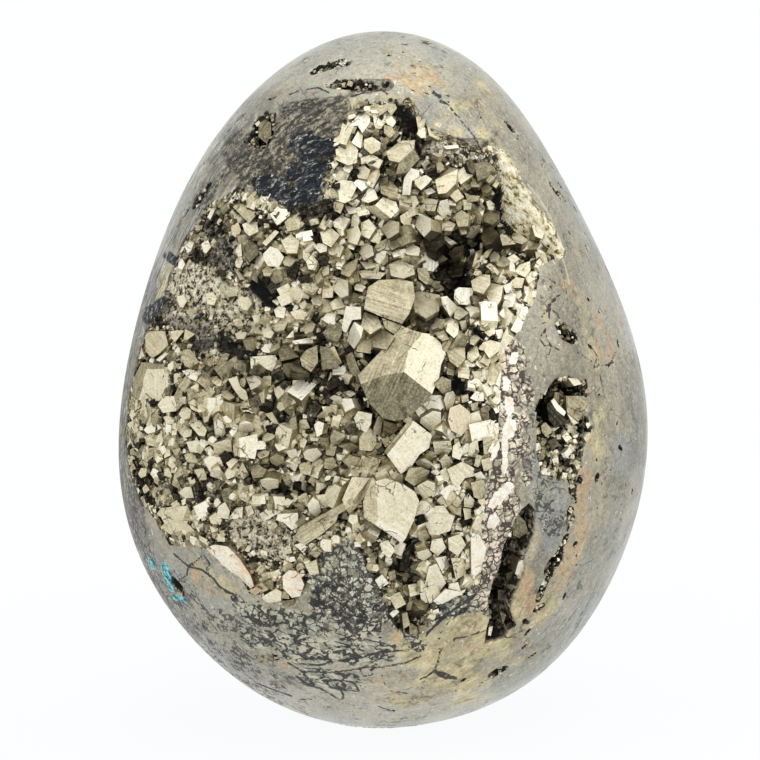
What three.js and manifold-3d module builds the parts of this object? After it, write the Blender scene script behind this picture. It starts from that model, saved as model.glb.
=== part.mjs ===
// A polished egg of pyrite ore, standing on its blunt end, with crystal-lined hollows in its front.
// Millimetres, +Z up, +X to the right. The crystals face -Y. The origin is the middle of the foot.
import * as THREE from 'three';
import Module from 'manifold-3d';
import { mergeVertices } from 'three/addons/utils/BufferGeometryUtils.js';
import { ConvexGeometry } from 'three/addons/geometries/ConvexGeometry.js';

const wasm = await Module();
wasm.setup();
const { clamp, degToRad, lerp, smoothstep } = THREE.MathUtils;

// The egg
const HEIGHT = 80;
const GROUND_OFF = 1; // taken off the blunt end to make the foot
const BREADTH = 60.3; // before the fullness below, which brings the widest ring to 61.6
const FLATTENING = 0.97; // front to back over side to side
const FULLNESS = [1, 0.227, -0.089, -0.169, 0.112, 0.109]; // of the girth, in powers of the cosine
const SWAY = [0.166, 0.188, 0.053, -0.207, 0.13, -0.132, -0.198]; // of the axis, in cosine waves
const HEART = new THREE.Vector3(0, 0, 36); // depths are measured towards this point
const RINGS = 19;
const SEGMENTS = 40;

// The hollows
const JOINT_GAP = 0.3; // between the crust and the wall that it lines
const LIP = 0.4; // the drop straight down at a hollow's edge
const WALL_RUN = 1.6; // how far in from its edge a wall reaches the depth given by the soundings
const CRUST = 2; // thickness of the grown-together crust, without its crystals
const CRUST_INSET = 1.0; // the crust's edge, inside the hollow's
const POLISH_GAP = 0.06; // crystals end this far below the polished surface
const CUT_OVER = 3; // how far a cutter stands outside the egg

// Places on the front are pixels of a square picture of it, seen from this eye.
const PICTURE = 760;
const EYE_DISTANCE = 400;
const EYE_TILT = degToRad(10);
const EYE_TARGET = new THREE.Vector3(0, 0, 39.6);
const FOCUS = 3450; // pixels

// Edge of the large hollow, where the polish ends
const HOLLOW_EDGE = [
  [350, 101], [395, 97], [420, 110], [436, 134], [476, 148], [500, 150], [522, 178], [540, 214], [562, 240],
  [558, 258], [542, 268], [538, 292], [526, 322], [508, 350], [502, 400], [500, 450], [490, 482],
  [484, 520], [486, 560], [478, 590], [446, 606], [420, 640], [396, 634], [372, 606], [332, 612],
  [296, 612], [262, 606], [226, 572], [206, 550], [168, 546], [152, 520], [134, 492], [126, 462],
  [124, 430], [128, 396], [138, 350], [148, 306], [166, 270], [186, 232], [206, 204], [240, 184],
  [286, 204], [322, 196], [330, 150],
];
// Edge of the crust where it stops short of the hollow's, on the slope at the bottom
const CRUST_EDGE = [
  [350, 101], [395, 97], [420, 110], [436, 134], [476, 148], [500, 150], [514, 190], [532, 222], [556, 240],
  [556, 258], [542, 268], [538, 292], [526, 322], [508, 350], [502, 400], [500, 450], [490, 482],
  [484, 520], [486, 560], [478, 590], [446, 606], [420, 640], [398, 630], [376, 580], [352, 540],
  [310, 560], [290, 606], [248, 596], [206, 550], [168, 546], [152, 520], [134, 492], [126, 462],
  [124, 430], [128, 396], [138, 350], [148, 306], [166, 270], [186, 232], [206, 204], [240, 184],
  [286, 204], [322, 196], [330, 150],
];
const HOLLOW_MIDDLE = [335, 372];
const HOLLOW_ROWS = [0.4, 0.7, 0.92, 1]; // shares of the way from the middle to the edge

// Soundings of the large hollow: picture place, then depth below the polish
const SOUNDINGS = [
  [135, 420, 1.6], [140, 480, 2.4], [152, 516, 1.8], [148, 345, 1.7], [162, 292, 1.7], [200, 330, 3.2],
  [158, 386, 1.9], [230, 350, 4.6], [264, 378, 5.4], [200, 470, 3.6], [256, 520, 4.0], [300, 480, 5.0],
  [344, 460, 5.6], [372, 450, 6.0], [300, 400, 5.4], [350, 390, 6.0], [340, 300, 4.2], [280, 250, 3.6],
  [220, 250, 2.8], [195, 222, 1.8], [250, 202, 2.2], [300, 216, 2.8], [344, 180, 3.2], [352, 122, 2.2],
  [382, 112, 2.0], [406, 122, 4.2], [430, 172, 4.2], [470, 180, 4.6], [500, 212, 6.6], [524, 234, 6.0],
  [450, 250, 8.2], [458, 276, 8.2], [428, 262, 7.2], [398, 240, 4.8], [492, 272, 3.8], [532, 272, 2.2],
  [516, 302, 2.2], [496, 330, 2.2], [460, 330, 3.2], [392, 300, 4.2], [400, 372, 5.4], [432, 404, 4.8],
  [460, 430, 3.8], [488, 400, 2.0], [490, 460, 2.2], [468, 500, 2.8], [440, 520, 3.8], [470, 560, 2.8],
  [440, 588, 2.8], [410, 612, 4.2], [398, 566, 4.4], [388, 520, 4.4], [350, 512, 3.6], [345, 560, 1.6],
  [318, 590, 1.1], [284, 590, 1.8], [246, 566, 2.6], [196, 528, 2.2], [174, 516, 2.0], [360, 594, 1.2],
];

// The vug and the cleft on the right, with their middles and depths
const VUG_EDGE = [
  [548, 388], [558, 378], [572, 375], [586, 383], [591, 397], [587, 412], [593, 428], [588, 441],
  [584, 454], [585, 466], [576, 477], [560, 480], [542, 474], [537, 450], [536, 425], [537, 405],
];
const VUG_MIDDLE = [560, 428];
const VUG_SOUNDINGS = [[546, 408, 6.2], [566, 396, 4.6], [580, 420, 4.0], [552, 446, 4.0], [574, 464, 2.4]];
const CLEFT_EDGE = [
  [527, 503], [534, 512], [535, 536], [521, 556], [518, 580], [510, 596], [514, 622], [500, 636],
  [486, 645], [490, 620], [491, 592], [499, 570], [507, 545], [516, 518],
];
const CLEFT_MIDDLE = [506, 575];
const CLEFT_SOUNDINGS = [
  [526, 516, 3.6], [520, 540, 4.6], [508, 570, 6.0], [500, 600, 5.6], [496, 632, 3.0],
];
const SMALL_ROWS = [0.6, 1];
const SKIN_ROWS = [0.4, 0.7, 0.9, 1]; // of the crust's facets
const FACET_SHIFT = 1.1; // how far the corners of the facets stray along the face
const FACET_RELIEF = 1.3; // and in depth

// Crystals picked out by eye: picture place, size, depth of the middle below the polish,
// then in degrees turn, lean and the side leant to (0 right, 90 up), and length over width
const LARGE_CRYSTALS = [
  [398, 378, 6.6, 3.6, 38, 30, 100, 1.15], [391, 306, 5.0, 3.0, 14, 16, 90, 1.1],
  [380, 342, 4.6, 3.4, 30, 20, 180, 1], [405, 444, 4.0, 2.6, 50, 14, 200, 1.9],
  [394, 508, 4.8, 2.6, 36, 24, 20, 1.25], [356, 500, 3.8, 3.4, 52, 30, 200, 1.2],
  [444, 524, 4.4, 2.8, 24, 12, 120, 1.1], [470, 566, 3.6, 2.2, 78, 34, 20, 1.9],
  [152, 386, 3.9, 1.6, 4, 20, 180, 1.1], [154, 343, 3.4, 1.5, 12, 24, 190, 1.1],
  [167, 404, 2.4, 1.0, 10, 18, 90, 1], [264, 363, 2.8, 3.6, 6, 20, 90, 1.4],
  [309, 362, 2.6, 3.6, 40, 30, 300, 1], [246, 446, 2.4, 2.2, 4, 14, 180, 1.1],
  [288, 520, 2.6, 2.6, 6, 26, 270, 1.3], [232, 572, 3.4, 1.6, 42, 20, 30, 1.8],
  [363, 118, 2.4, 1.0, 40, 24, 100, 1], [382, 114, 2.2, 0.9, 24, 20, 90, 1.2],
  [371, 141, 2.4, 1.3, 30, 16, 60, 1], [345, 149, 2.6, 1.4, 8, 18, 200, 1],
  [402, 150, 3.6, 1.8, 48, 30, 130, 1.3], [410, 184, 3.0, 2.0, 10, 32, 180, 1.3],
  [384, 205, 2.6, 2.0, 34, 24, 240, 1.2], [344, 187, 2.8, 1.6, 6, 14, 90, 1],
  [372, 190, 2.2, 1.8, 50, 28, 30, 1], [345, 216, 2.2, 1.9, 18, 20, 150, 1],
  [424, 222, 2.6, 2.4, 12, 22, 270, 1.3], [444, 208, 2.2, 2.4, 4, 26, 180, 1.4],
  [478, 172, 2.4, 2.2, 30, 22, 40, 1], [450, 176, 2.4, 2.4, 44, 18, 90, 1],
  [490, 226, 2.8, 3.2, 16, 26, 0, 1.2], [340, 288, 2.2, 2.4, 20, 22, 300, 1.1],
  [352, 325, 2.6, 2.6, 4, 30, 200, 1.8], [332, 326, 2.6, 3.2, 40, 30, 160, 1.2],
  [421, 303, 2.9, 2.2, 12, 14, 90, 1], [447, 302, 2.4, 2.2, 34, 20, 220, 1.2],
  [452, 331, 2.2, 1.9, 22, 20, 60, 1.1], [482, 284, 3.2, 2.0, 30, 16, 90, 1.2],
  [518, 272, 3.2, 1.4, 42, 16, 45, 1.1], [404, 268, 3.0, 2.8, 10, 24, 90, 1.5],
  [468, 352, 2.8, 1.8, 50, 14, 30, 1.1], [432, 356, 2.2, 2.6, 20, 20, 0, 1],
  [460, 418, 3.0, 2.0, 18, 12, 300, 1], [432, 424, 2.6, 2.2, 26, 18, 100, 1.3],
  [442, 447, 2.3, 2.0, 6, 10, 90, 1.1], [464, 470, 2.9, 1.7, 30, 16, 120, 1],
  [420, 482, 3.0, 2.4, 44, 20, 200, 1], [450, 384, 2.4, 2.2, 40, 22, 250, 1],
  [322, 428, 1.9, 3.4, 6, 26, 0, 1.6], [310, 453, 2.2, 3.2, 14, 22, 30, 1.3],
  [289, 454, 1.9, 2.9, 10, 20, 180, 1.2], [218, 429, 2.3, 2.4, 52, 20, 40, 1.5],
  [245, 427, 2.1, 2.5, 6, 18, 90, 1.2], [197, 436, 2.4, 2.2, 20, 16, 160, 1],
  [250, 384, 2.2, 2.8, 16, 26, 30, 1.1], [236, 384, 2.0, 2.8, 50, 30, 200, 1.6],
  [190, 374, 2.2, 1.8, 22, 20, 270, 1.1], [188, 362, 2.2, 1.9, 36, 26, 180, 1],
  [240, 252, 2.6, 1.8, 8, 24, 160, 1.2], [272, 258, 2.3, 2.0, 12, 16, 60, 1],
  [291, 246, 2.1, 2.0, 40, 22, 100, 1], [234, 300, 2.0, 1.8, 30, 18, 200, 1],
  [225, 514, 2.4, 1.8, 30, 20, 90, 1.4], [186, 494, 2.2, 1.8, 8, 16, 100, 1.2],
  [176, 514, 2.8, 1.1, 36, 14, 200, 1.3], [292, 584, 3.0, 1.2, 32, 16, 20, 1.2],
  [270, 597, 2.2, 0.9, 12, 12, 90, 1.5], [314, 510, 2.6, 2.4, 30, 26, 20, 1],
  [438, 574, 3.0, 1.8, 28, 18, 160, 1.1], [430, 552, 2.0, 1.9, 12, 20, 90, 1.2],
  [384, 578, 2.0, 2.6, 22, 30, 60, 1.1], [226, 206, 2.4, 1.2, 46, 20, 120, 1.5],
];

// Where the crystals between them are coarse or fine: picture place, then size
const GRAINS = [
  [160, 300, 1.2], [200, 320, 1.0], [240, 330, 1.1], [200, 250, 1.3], [220, 220, 1.5], [260, 200, 1.3],
  [300, 215, 1.2], [290, 260, 2.1], [330, 250, 2.2], [350, 180, 2.4], [370, 120, 2.3], [420, 180, 2.0],
  [480, 200, 1.8], [510, 260, 2.2], [400, 230, 2.2], [310, 300, 2.0], [280, 330, 1.8], [330, 370, 1.6],
  [290, 400, 1.5], [230, 390, 2.0], [160, 420, 2.4], [200, 440, 2.4], [270, 450, 2.0], [340, 440, 1.9],
  [170, 480, 1.3], [240, 490, 1.2], [300, 490, 1.4], [250, 545, 1.0], [190, 530, 2.0], [330, 540, 1.1],
  [400, 560, 1.3], [450, 560, 2.3], [450, 480, 2.6], [480, 430, 2.3], [460, 330, 2.5], [500, 300, 2.0],
  [440, 600, 1.8], [490, 380, 1.3], [510, 340, 1.5], [400, 480, 2.0],
];
const SMALLEST = 1.75; // finer grains are left as the crust's own surface
const FILL_TRIES = 240;
const FILL_SEED = 2411;
const FACET_SEED = 19;
const FILL_LEAN = 34;

// Corners that a crystal has lost, one bit each; the small ones are whole cubes
const LOST_CORNERS = [0x02, 0x41, 0x10, 0x88, 0x14];
const LEAST_CUT = 3;
const CORNER_CUT = 0.62; // of half the crystal

// Crystals of the vug and the cleft, as above
const VUG_CRYSTALS = [
  [574, 405, 4.2, 2.0, 40, 4, 180, 1.1], [546, 429, 2.4, 3.4, 36, 24, 160, 1],
  [557, 463, 2.2, 1.4, 22, 22, 90, 1], [578, 462, 2.2, 1.0, 40, 20, 60, 1],
  [584, 432, 2.0, 1.2, 10, 18, 0, 1], [572, 385, 2.2, 1.4, 20, 20, 270, 1.2],
  [548, 450, 1.8, 2.4, 48, 26, 30, 1.1], [566, 446, 2.2, 2.2, 14, 24, 200, 1],
];
const CLEFT_CRYSTALS = [
  [521, 532, 2.4, 2.8, 30, 24, 180, 1.1], [523, 562, 2.4, 1.3, 20, 30, 180, 1.5],
  [509, 531, 1.4, 1.2, 40, 20, 0, 1], [506, 574, 1.9, 3.6, 20, 20, 200, 1.1],
  [491, 630, 1.3, 1.2, 6, 18, 0, 1.8], [500, 614, 2.0, 3.2, 34, 26, 90, 1],
];

// Small open pits in the polish: picture place, length, width, depth, and the long side's tilt
const PITS = [
  [261, 130, 4.0, 3.0, 2.6, 120], [201, 194, 3.4, 1.5, 1.6, 65], [328, 65, 4.6, 1.5, 1.2, 24],
  [350, 83, 5.8, 1.6, 1.3, 0], [512, 127, 2.2, 1.0, 1.2, 120], [571, 334, 3.6, 1.5, 1.6, 138],
  [556, 190, 2.6, 0.8, 1.0, 115], [275, 658, 1.1, 0.9, 0.9, 90], [497, 674, 2.4, 1.6, 1.4, 30],
  [175, 585, 2.6, 1.2, 1.5, 122], [574, 489, 1.8, 1.5, 1.3, 100], [571, 514, 1.7, 1.1, 1.1, 100],
  [566, 541, 1.7, 1.0, 1.1, 70], [555, 564, 3.2, 1.9, 1.7, 64], [543, 590, 2.0, 1.2, 1.2, 80],
  [540, 609, 1.6, 0.9, 1.0, 30], [586, 387, 1.7, 0.9, 0.9, 70],
];

const FINE_PIT = 2.5; // pits shorter than this have fewer faces

const ORE = new THREE.MeshStandardMaterial({ color: 0x8f8874, roughness: 0.32, metalness: 0.7 });
const PYRITE = new THREE.MeshStandardMaterial({ color: 0xcfc094, roughness: 0.3, metalness: 0.9 });

// Girth and sway of the egg's ring at one height
function ringAt(z) {
  const along = clamp(1 - 2 * (z + GROUND_OFF) / (HEIGHT + GROUND_OFF), -1, 1);
  const full = FULLNESS.reduceRight((sum, term) => sum * along + term, 0);
  const angle = Math.acos(along);
  const x = SWAY.reduce((sum, term, wave) => sum + term * Math.cos(wave * angle), 0);
  return { radius: BREADTH / 2 * Math.sin(angle) * full, x };
}

function insideEgg(point) {
  if (point.z < 0 || point.z > HEIGHT) {
    return false;
  }
  const ring = ringAt(point.z);
  return Math.hypot(point.x - ring.x, point.y / FLATTENING) < ring.radius;
}

// Halves the span between a place that passes the test and one that fails it
function edgeOf(passes, near, far) {
  let good = near;
  let bad = far;
  for (let step = 0; step < 26; step += 1) {
    const middle = (good + bad) / 2;
    if (passes(middle)) {
      good = middle;
    } else {
      bad = middle;
    }
  }
  return good;
}

// Distance from the heart to the polished surface along one direction
function reach(direction) {
  const probe = new THREE.Vector3();
  const passes = (length) => insideEgg(probe.copy(HEART).addScaledVector(direction, length));
  return edgeOf(passes, 0, HEIGHT);
}

function depthOf(point) {
  const arm = point.clone().sub(HEART);
  const length = arm.length();
  return reach(arm.normalize()) - length;
}

// The map: directions from the heart laid flat around the front, in millimetres
const MAP_RADIUS = 33;

function toMap(point) {
  const direction = point.clone().sub(HEART).normalize();
  const away = Math.acos(clamp(-direction.y, -1, 1));
  const spread = MAP_RADIUS * away / Math.max(Math.hypot(direction.x, direction.z), 1e-9);
  return new THREE.Vector2(direction.x * spread, direction.z * spread);
}

function fromMap(place) {
  const away = place.length() / MAP_RADIUS;
  const spread = Math.sin(away) / Math.max(place.length(), 1e-9);
  return new THREE.Vector3(place.x * spread, -Math.cos(away), place.y * spread);
}

function atDepth(place, depth) {
  const direction = fromMap(place);
  return direction.multiplyScalar(reach(direction) - depth).add(HEART);
}

// The point that a picture place shows, at some depth below the polish
function sight([column, row], depth = 0) {
  const ahead = new THREE.Vector3(0, Math.cos(EYE_TILT), -Math.sin(EYE_TILT));
  const above = new THREE.Vector3(0, Math.sin(EYE_TILT), Math.cos(EYE_TILT));
  const eye = EYE_TARGET.clone().addScaledVector(ahead, -EYE_DISTANCE);
  const line = ahead.clone().addScaledVector(above, (PICTURE / 2 - row) / FOCUS);
  line.x += (column - PICTURE / 2) / FOCUS;
  const along = (length) => eye.clone().addScaledVector(line, length);
  let near = EYE_DISTANCE - HEIGHT / 2;
  while (depthOf(along(near)) < depth && near < EYE_DISTANCE) {
    near += 0.5;
  }
  return along(edgeOf((length) => depthOf(along(length)) < depth, near - 0.5, near));
}

const mapPlace = (pixel) => toMap(sight(pixel));

// Distance from a place to the nearest side of a closed outline, less than nothing outside it
function distanceInside(place, outline) {
  let nearest = Infinity;
  let inside = false;
  outline.forEach((end, index) => {
    const start = outline[(index + outline.length - 1) % outline.length];
    const side = end.clone().sub(start);
    const share = clamp(place.clone().sub(start).dot(side) / side.lengthSq(), 0, 1);
    nearest = Math.min(nearest, place.distanceTo(start.clone().addScaledVector(side, share)));
    const crosses = (start.y > place.y) !== (end.y > place.y);
    if (crosses && place.x < start.x + (place.y - start.y) / side.y * side.x) {
      inside = !inside;
    }
  });
  return inside ? nearest : -nearest;
}

// A value read between marked places, each weighing less with distance
function between(marks, place) {
  let sum = 0;
  let weights = 0;
  for (const mark of marks) {
    const weight = 1 / (place.distanceToSquared(mark.place) + 0.4) ** 2;
    sum += weight * mark.value;
    weights += weight;
  }
  return sum / weights;
}

const marked = (list) => list.map(([column, row, value]) => ({ place: mapPlace([column, row]), value }));

function makeSolid(geometry) {
  const bare = geometry.clone();
  bare.deleteAttribute('normal');
  bare.deleteAttribute('uv');
  const merged = mergeVertices(bare, 1e-5);
  return new wasm.Manifold(new wasm.Mesh({
    numProp: 3,
    vertProperties: new Float32Array(merged.attributes.position.array),
    triVerts: new Uint32Array(merged.index.array),
  }));
}

function makeMesh(solid, name, material) {
  const { vertProperties, triVerts } = solid.getMesh();
  const geometry = new THREE.BufferGeometry();
  geometry.setAttribute('position', new THREE.BufferAttribute(vertProperties, 3));
  geometry.setIndex(new THREE.BufferAttribute(triVerts, 1));
  geometry.computeVertexNormals();
  const mesh = new THREE.Mesh(geometry, material);
  mesh.name = name;
  return mesh;
}

function indexed(positions, indices) {
  const geometry = new THREE.BufferGeometry();
  geometry.setAttribute('position', new THREE.Float32BufferAttribute(positions, 3));
  geometry.setIndex(indices);
  return geometry;
}

// Cells of the map on rays from a middle to an outline, each with the depth of the floor there
function cellRows(outline, middle, shares, floor) {
  return shares.map((share) => outline.map((point) => {
    const place = middle.clone().lerp(point, share);
    return { place, depth: floor(place) };
  }));
}

// The same cells with the outer row drawn in by a gap and all of them raised by it
function heldBack(rows, gap) {
  const before = rows.at(-2);
  const drawnIn = rows.at(-1).map(({ place, depth }, step) => {
    const towards = before[step];
    const share = gap / place.distanceTo(towards.place);
    return { place: place.clone().lerp(towards.place, share), depth: lerp(depth, towards.depth, share) };
  });
  const raise = ({ place, depth }) => ({ place, depth: depth - gap });
  return [...rows.slice(0, -1), drawnIn].map((row) => row.map(raise));
}

// A closed piece over the cells, from an inner depth to an outer one
function slab(centre, rows, innerDepth, outerDepth) {
  const positions = [];
  const indices = [];
  const count = rows[0].length;
  const last = rows.length - 1;
  const perSide = 1 + rows.length * count;
  for (const depthAt of [outerDepth, innerDepth]) {
    for (const cell of [centre, ...rows.flat()]) {
      positions.push(...atDepth(cell.place, depthAt(cell)));
    }
  }
  const corner = (side, row, step) => side * perSide + 1 + row * count + step % count;
  for (let step = 0; step < count; step += 1) {
    const next = step + 1;
    indices.push(0, corner(0, 0, step), corner(0, 0, next));
    indices.push(perSide, corner(1, 0, next), corner(1, 0, step));
    for (let row = 0; row < last; row += 1) {
      const cell = [[row, step], [row + 1, step], [row + 1, next], [row, next]];
      const [a, b, c, d] = cell.map(([line, place]) => corner(0, line, place));
      indices.push(a, b, c, a, c, d);
      const [e, f, g, h] = cell.map(([line, place]) => corner(1, line, place));
      indices.push(e, g, f, e, h, g);
    }
    const rim = [corner(0, last, step), corner(0, last, next)];
    const foot = [corner(1, last, step), corner(1, last, next)];
    indices.push(rim[0], foot[0], rim[1], rim[1], foot[0], foot[1]);
  }
  return makeSolid(indexed(positions, indices));
}

// The whole egg before it is opened
function eggSolid() {
  const positions = [0, 0, 0];
  const indices = [];
  const footAngle = Math.acos(1 - 2 * GROUND_OFF / (HEIGHT + GROUND_OFF));
  for (let ring = 0; ring < RINGS; ring += 1) {
    const angle = lerp(footAngle, Math.PI, ring / RINGS);
    const z = (HEIGHT + GROUND_OFF) / 2 * (1 - Math.cos(angle)) - GROUND_OFF;
    const { radius, x } = ringAt(z);
    for (let step = 0; step < SEGMENTS; step += 1) {
      const turn = 2 * Math.PI * step / SEGMENTS;
      positions.push(x + radius * Math.cos(turn), FLATTENING * radius * Math.sin(turn), z);
    }
  }
  positions.push(ringAt(HEIGHT).x, 0, HEIGHT);
  const tip = 1 + RINGS * SEGMENTS;
  const corner = (ring, step) => 1 + ring * SEGMENTS + step % SEGMENTS;
  for (let step = 0; step < SEGMENTS; step += 1) {
    indices.push(0, corner(0, step + 1), corner(0, step));
    indices.push(tip, corner(RINGS - 1, step), corner(RINGS - 1, step + 1));
    for (let ring = 0; ring < RINGS - 1; ring += 1) {
      const [a, b] = [corner(ring, step), corner(ring, step + 1)];
      const [c, d] = [corner(ring + 1, step + 1), corner(ring + 1, step)];
      indices.push(a, b, c, a, c, d);
    }
  }
  return makeSolid(indexed(positions, indices));
}

// A pyrite cube with some corners and edges cut, at the origin
function crystalShape(size, stretch, lost) {
  const half = size / 2;
  const kept = 1 - CORNER_CUT;
  const points = [];
  for (let corner = 0; corner < 8; corner += 1) {
    const [x, y, z] = [4, 2, 1].map((bit) => (corner & bit ? half : -half));
    if (lost >> corner & 1) {
      points.push([x * kept, y, z], [x, y * kept, z], [x, y, z * kept]);
    } else {
      points.push([x, y, z]);
    }
  }
  return new ConvexGeometry(points.map(([x, y, z]) => new THREE.Vector3(x * stretch, y, z)));
}

// Stands a crystal on the face: turned about the outward line, then leant to one side
function crystal([column, row, size, depth, turn, lean, side, stretch], lost) {
  const middle = sight([column, row], depth);
  return placedCrystal(middle, { size, turn, lean, side, stretch, lost });
}

function placedCrystal(middle, { size, turn, lean, side, stretch, lost }) {
  const outward = middle.clone().sub(HEART).normalize();
  const right = new THREE.Vector3(0, 0, 1).cross(outward).normalize();
  const up = outward.clone().cross(right);
  const upright = new THREE.Matrix4().makeBasis(right, up, outward);
  const towards = degToRad(side);
  const hinge = new THREE.Vector3(-Math.sin(towards), Math.cos(towards), 0);
  const leant = new THREE.Matrix4().makeRotationAxis(hinge, degToRad(lean));
  const turned = new THREE.Matrix4().makeRotationZ(degToRad(turn));
  const geometry = crystalShape(size, stretch, lost);
  geometry.applyMatrix4(upright.multiply(leant).multiply(turned).setPosition(middle));
  return makeSolid(geometry);
}

// Even random numbers that come out the same every time
function dice(seed) {
  let state = seed;
  return () => {
    state = (Math.imul(state, 1664525) + 1013904223) >>> 0;
    return state / 2 ** 32;
  };
}

// An outline on the map, running anticlockwise as seen from the front
function outlineOf(edge) {
  const outline = edge.map(mapPlace);
  return THREE.ShapeUtils.isClockWise(outline) ? outline.reverse() : outline;
}

// A hollow: its middle, its floor's depth and the cells of its floor
function hollow(edge, middlePixel, soundings, shares) {
  const place = mapPlace(middlePixel);
  const outline = outlineOf(edge);
  const marks = marked(soundings);
  const floor = (spot) => {
    const share = smoothstep(distanceInside(spot, outline), 0, WALL_RUN);
    return lerp(LIP, between(marks, spot), share);
  };
  const centre = { place, depth: floor(place) };
  return { centre, floor, rows: cellRows(outline, place, shares, floor) };
}

function cutter({ centre, rows }) {
  return slab(centre, rows, (cell) => cell.depth, () => -CUT_OVER);
}

// The crust of a hollow: a skin along its floor with the crystals that stand on it,
// kept clear of the wall and ground flush with the polish
function crustOf({ centre, rows, floor }, edgePixels, skinShares, crystals) {
  const room = heldBack(rows, JOINT_GAP);
  const raised = { place: centre.place, depth: centre.depth - JOINT_GAP };
  const clearance = slab(raised, room, (cell) => cell.depth, () => POLISH_GAP);
  const drawIn = (point) => point.lerp(centre.place, CRUST_INSET / point.distanceTo(centre.place));
  const edge = outlineOf(edgePixels).map(drawIn);
  const roll = dice(FACET_SEED);
  const facets = cellRows(edge, centre.place, skinShares, floor);
  facets.slice(0, -1).flat().forEach((cell) => {
    cell.place.x += FACET_SHIFT * (roll() - 0.5);
    cell.place.y += FACET_SHIFT * (roll() - 0.5);
    cell.relief = FACET_RELIEF * (roll() - 0.5);
  });
  const skinTop = ({ depth, relief = 0 }) => Math.max(depth - CRUST + relief, 0.4 * depth);
  const skin = slab(centre, facets, (cell) => cell.depth + 1, skinTop);
  const grown = wasm.Manifold.union([skin, ...crystals]);
  const pieces = grown.intersect(clearance).decompose();
  return pieces.reduce((largest, piece) => (piece.volume() > largest.volume() ? piece : largest));
}

// Crystals between the picked ones, as large as the grain there allows
function fillCrystals({ floor }, edgePixels, taken) {
  const roll = dice(FILL_SEED);
  const edge = outlineOf(edgePixels);
  const grain = marked(GRAINS);
  const spots = taken.map(([column, row, size]) => ({ place: mapPlace([column, row]), size }));
  const box = new THREE.Box2().setFromPoints(edge);
  const made = [];
  for (let attempt = 0; attempt < FILL_TRIES; attempt += 1) {
    const across = lerp(box.min.x, box.max.x, roll());
    const place = new THREE.Vector2(across, lerp(box.min.y, box.max.y, roll()));
    const size = between(grain, place) * (0.8 + 0.5 * roll());
    const [turn, lean, side] = [90 * roll(), FILL_LEAN * roll(), 360 * roll()];
    const stretch = 1 + 0.5 * roll() ** 2;
    const fits = distanceInside(place, edge) > CRUST_INSET + 0.2 * size;
    const free = spots.every((spot) => spot.place.distanceTo(place) > 0.54 * (spot.size + size));
    if (size > SMALLEST && fits && free) {
      spots.push({ place, size });
      const depth = Math.max(floor(place) - CRUST - 0.25 * size, 0.4 * size);
      made.push(placedCrystal(atDepth(place, depth), { size, turn, lean, side, stretch, lost: 0 }));
    }
  }
  return made;
}

// An open pit: a rough lump cut out of the surface
function pit([column, row, length, width, depth, tilt]) {
  const middle = sight([column, row]);
  const outward = middle.clone().sub(HEART).normalize();
  const right = new THREE.Vector3(0, 0, 1).cross(outward).normalize();
  const up = outward.clone().cross(right);
  const Lump = length > FINE_PIT ? THREE.IcosahedronGeometry : THREE.OctahedronGeometry;
  const geometry = new Lump(1, 0);
  geometry.rotateX(0.5);
  geometry.scale(length / 2, width / 2, depth);
  geometry.rotateZ(degToRad(tilt));
  geometry.applyMatrix4(new THREE.Matrix4().makeBasis(right, up, outward).setPosition(middle));
  return makeSolid(geometry);
}

const picked = (list) => list.map((entry, index) => {
  const lost = entry[2] >= LEAST_CUT ? LOST_CORNERS[index % LOST_CORNERS.length] : 0;
  return crystal(entry, lost);
});

const front = hollow(HOLLOW_EDGE, HOLLOW_MIDDLE, SOUNDINGS, HOLLOW_ROWS);
const vug = hollow(VUG_EDGE, VUG_MIDDLE, VUG_SOUNDINGS, SMALL_ROWS);
const cleft = hollow(CLEFT_EDGE, CLEFT_MIDDLE, CLEFT_SOUNDINGS, SMALL_ROWS);

const openings = [...[front, vug, cleft].map(cutter), ...PITS.map(pit)];
const body = eggSolid().subtract(wasm.Manifold.union(openings));
const frontCrystals = [...picked(LARGE_CRYSTALS), ...fillCrystals(front, CRUST_EDGE, LARGE_CRYSTALS)];
const druse = crustOf(front, CRUST_EDGE, SKIN_ROWS, frontCrystals);
const vugCrust = crustOf(vug, VUG_EDGE, SMALL_ROWS, picked(VUG_CRYSTALS));
const cleftCrust = crustOf(cleft, CLEFT_EDGE, SMALL_ROWS, picked(CLEFT_CRYSTALS));

const group = new THREE.Group();
group.add(makeMesh(body, 'egg_body', ORE));
group.add(makeMesh(druse, 'druse_crust', PYRITE));
group.add(makeMesh(vugCrust, 'vug_crystals', PYRITE));
group.add(makeMesh(cleftCrust, 'cleft_crystals', PYRITE));

export default group;
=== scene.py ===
from math import cos, pi, radians, sin

import bpy
import numpy as np
from mathutils import Matrix, Vector, noise


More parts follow.
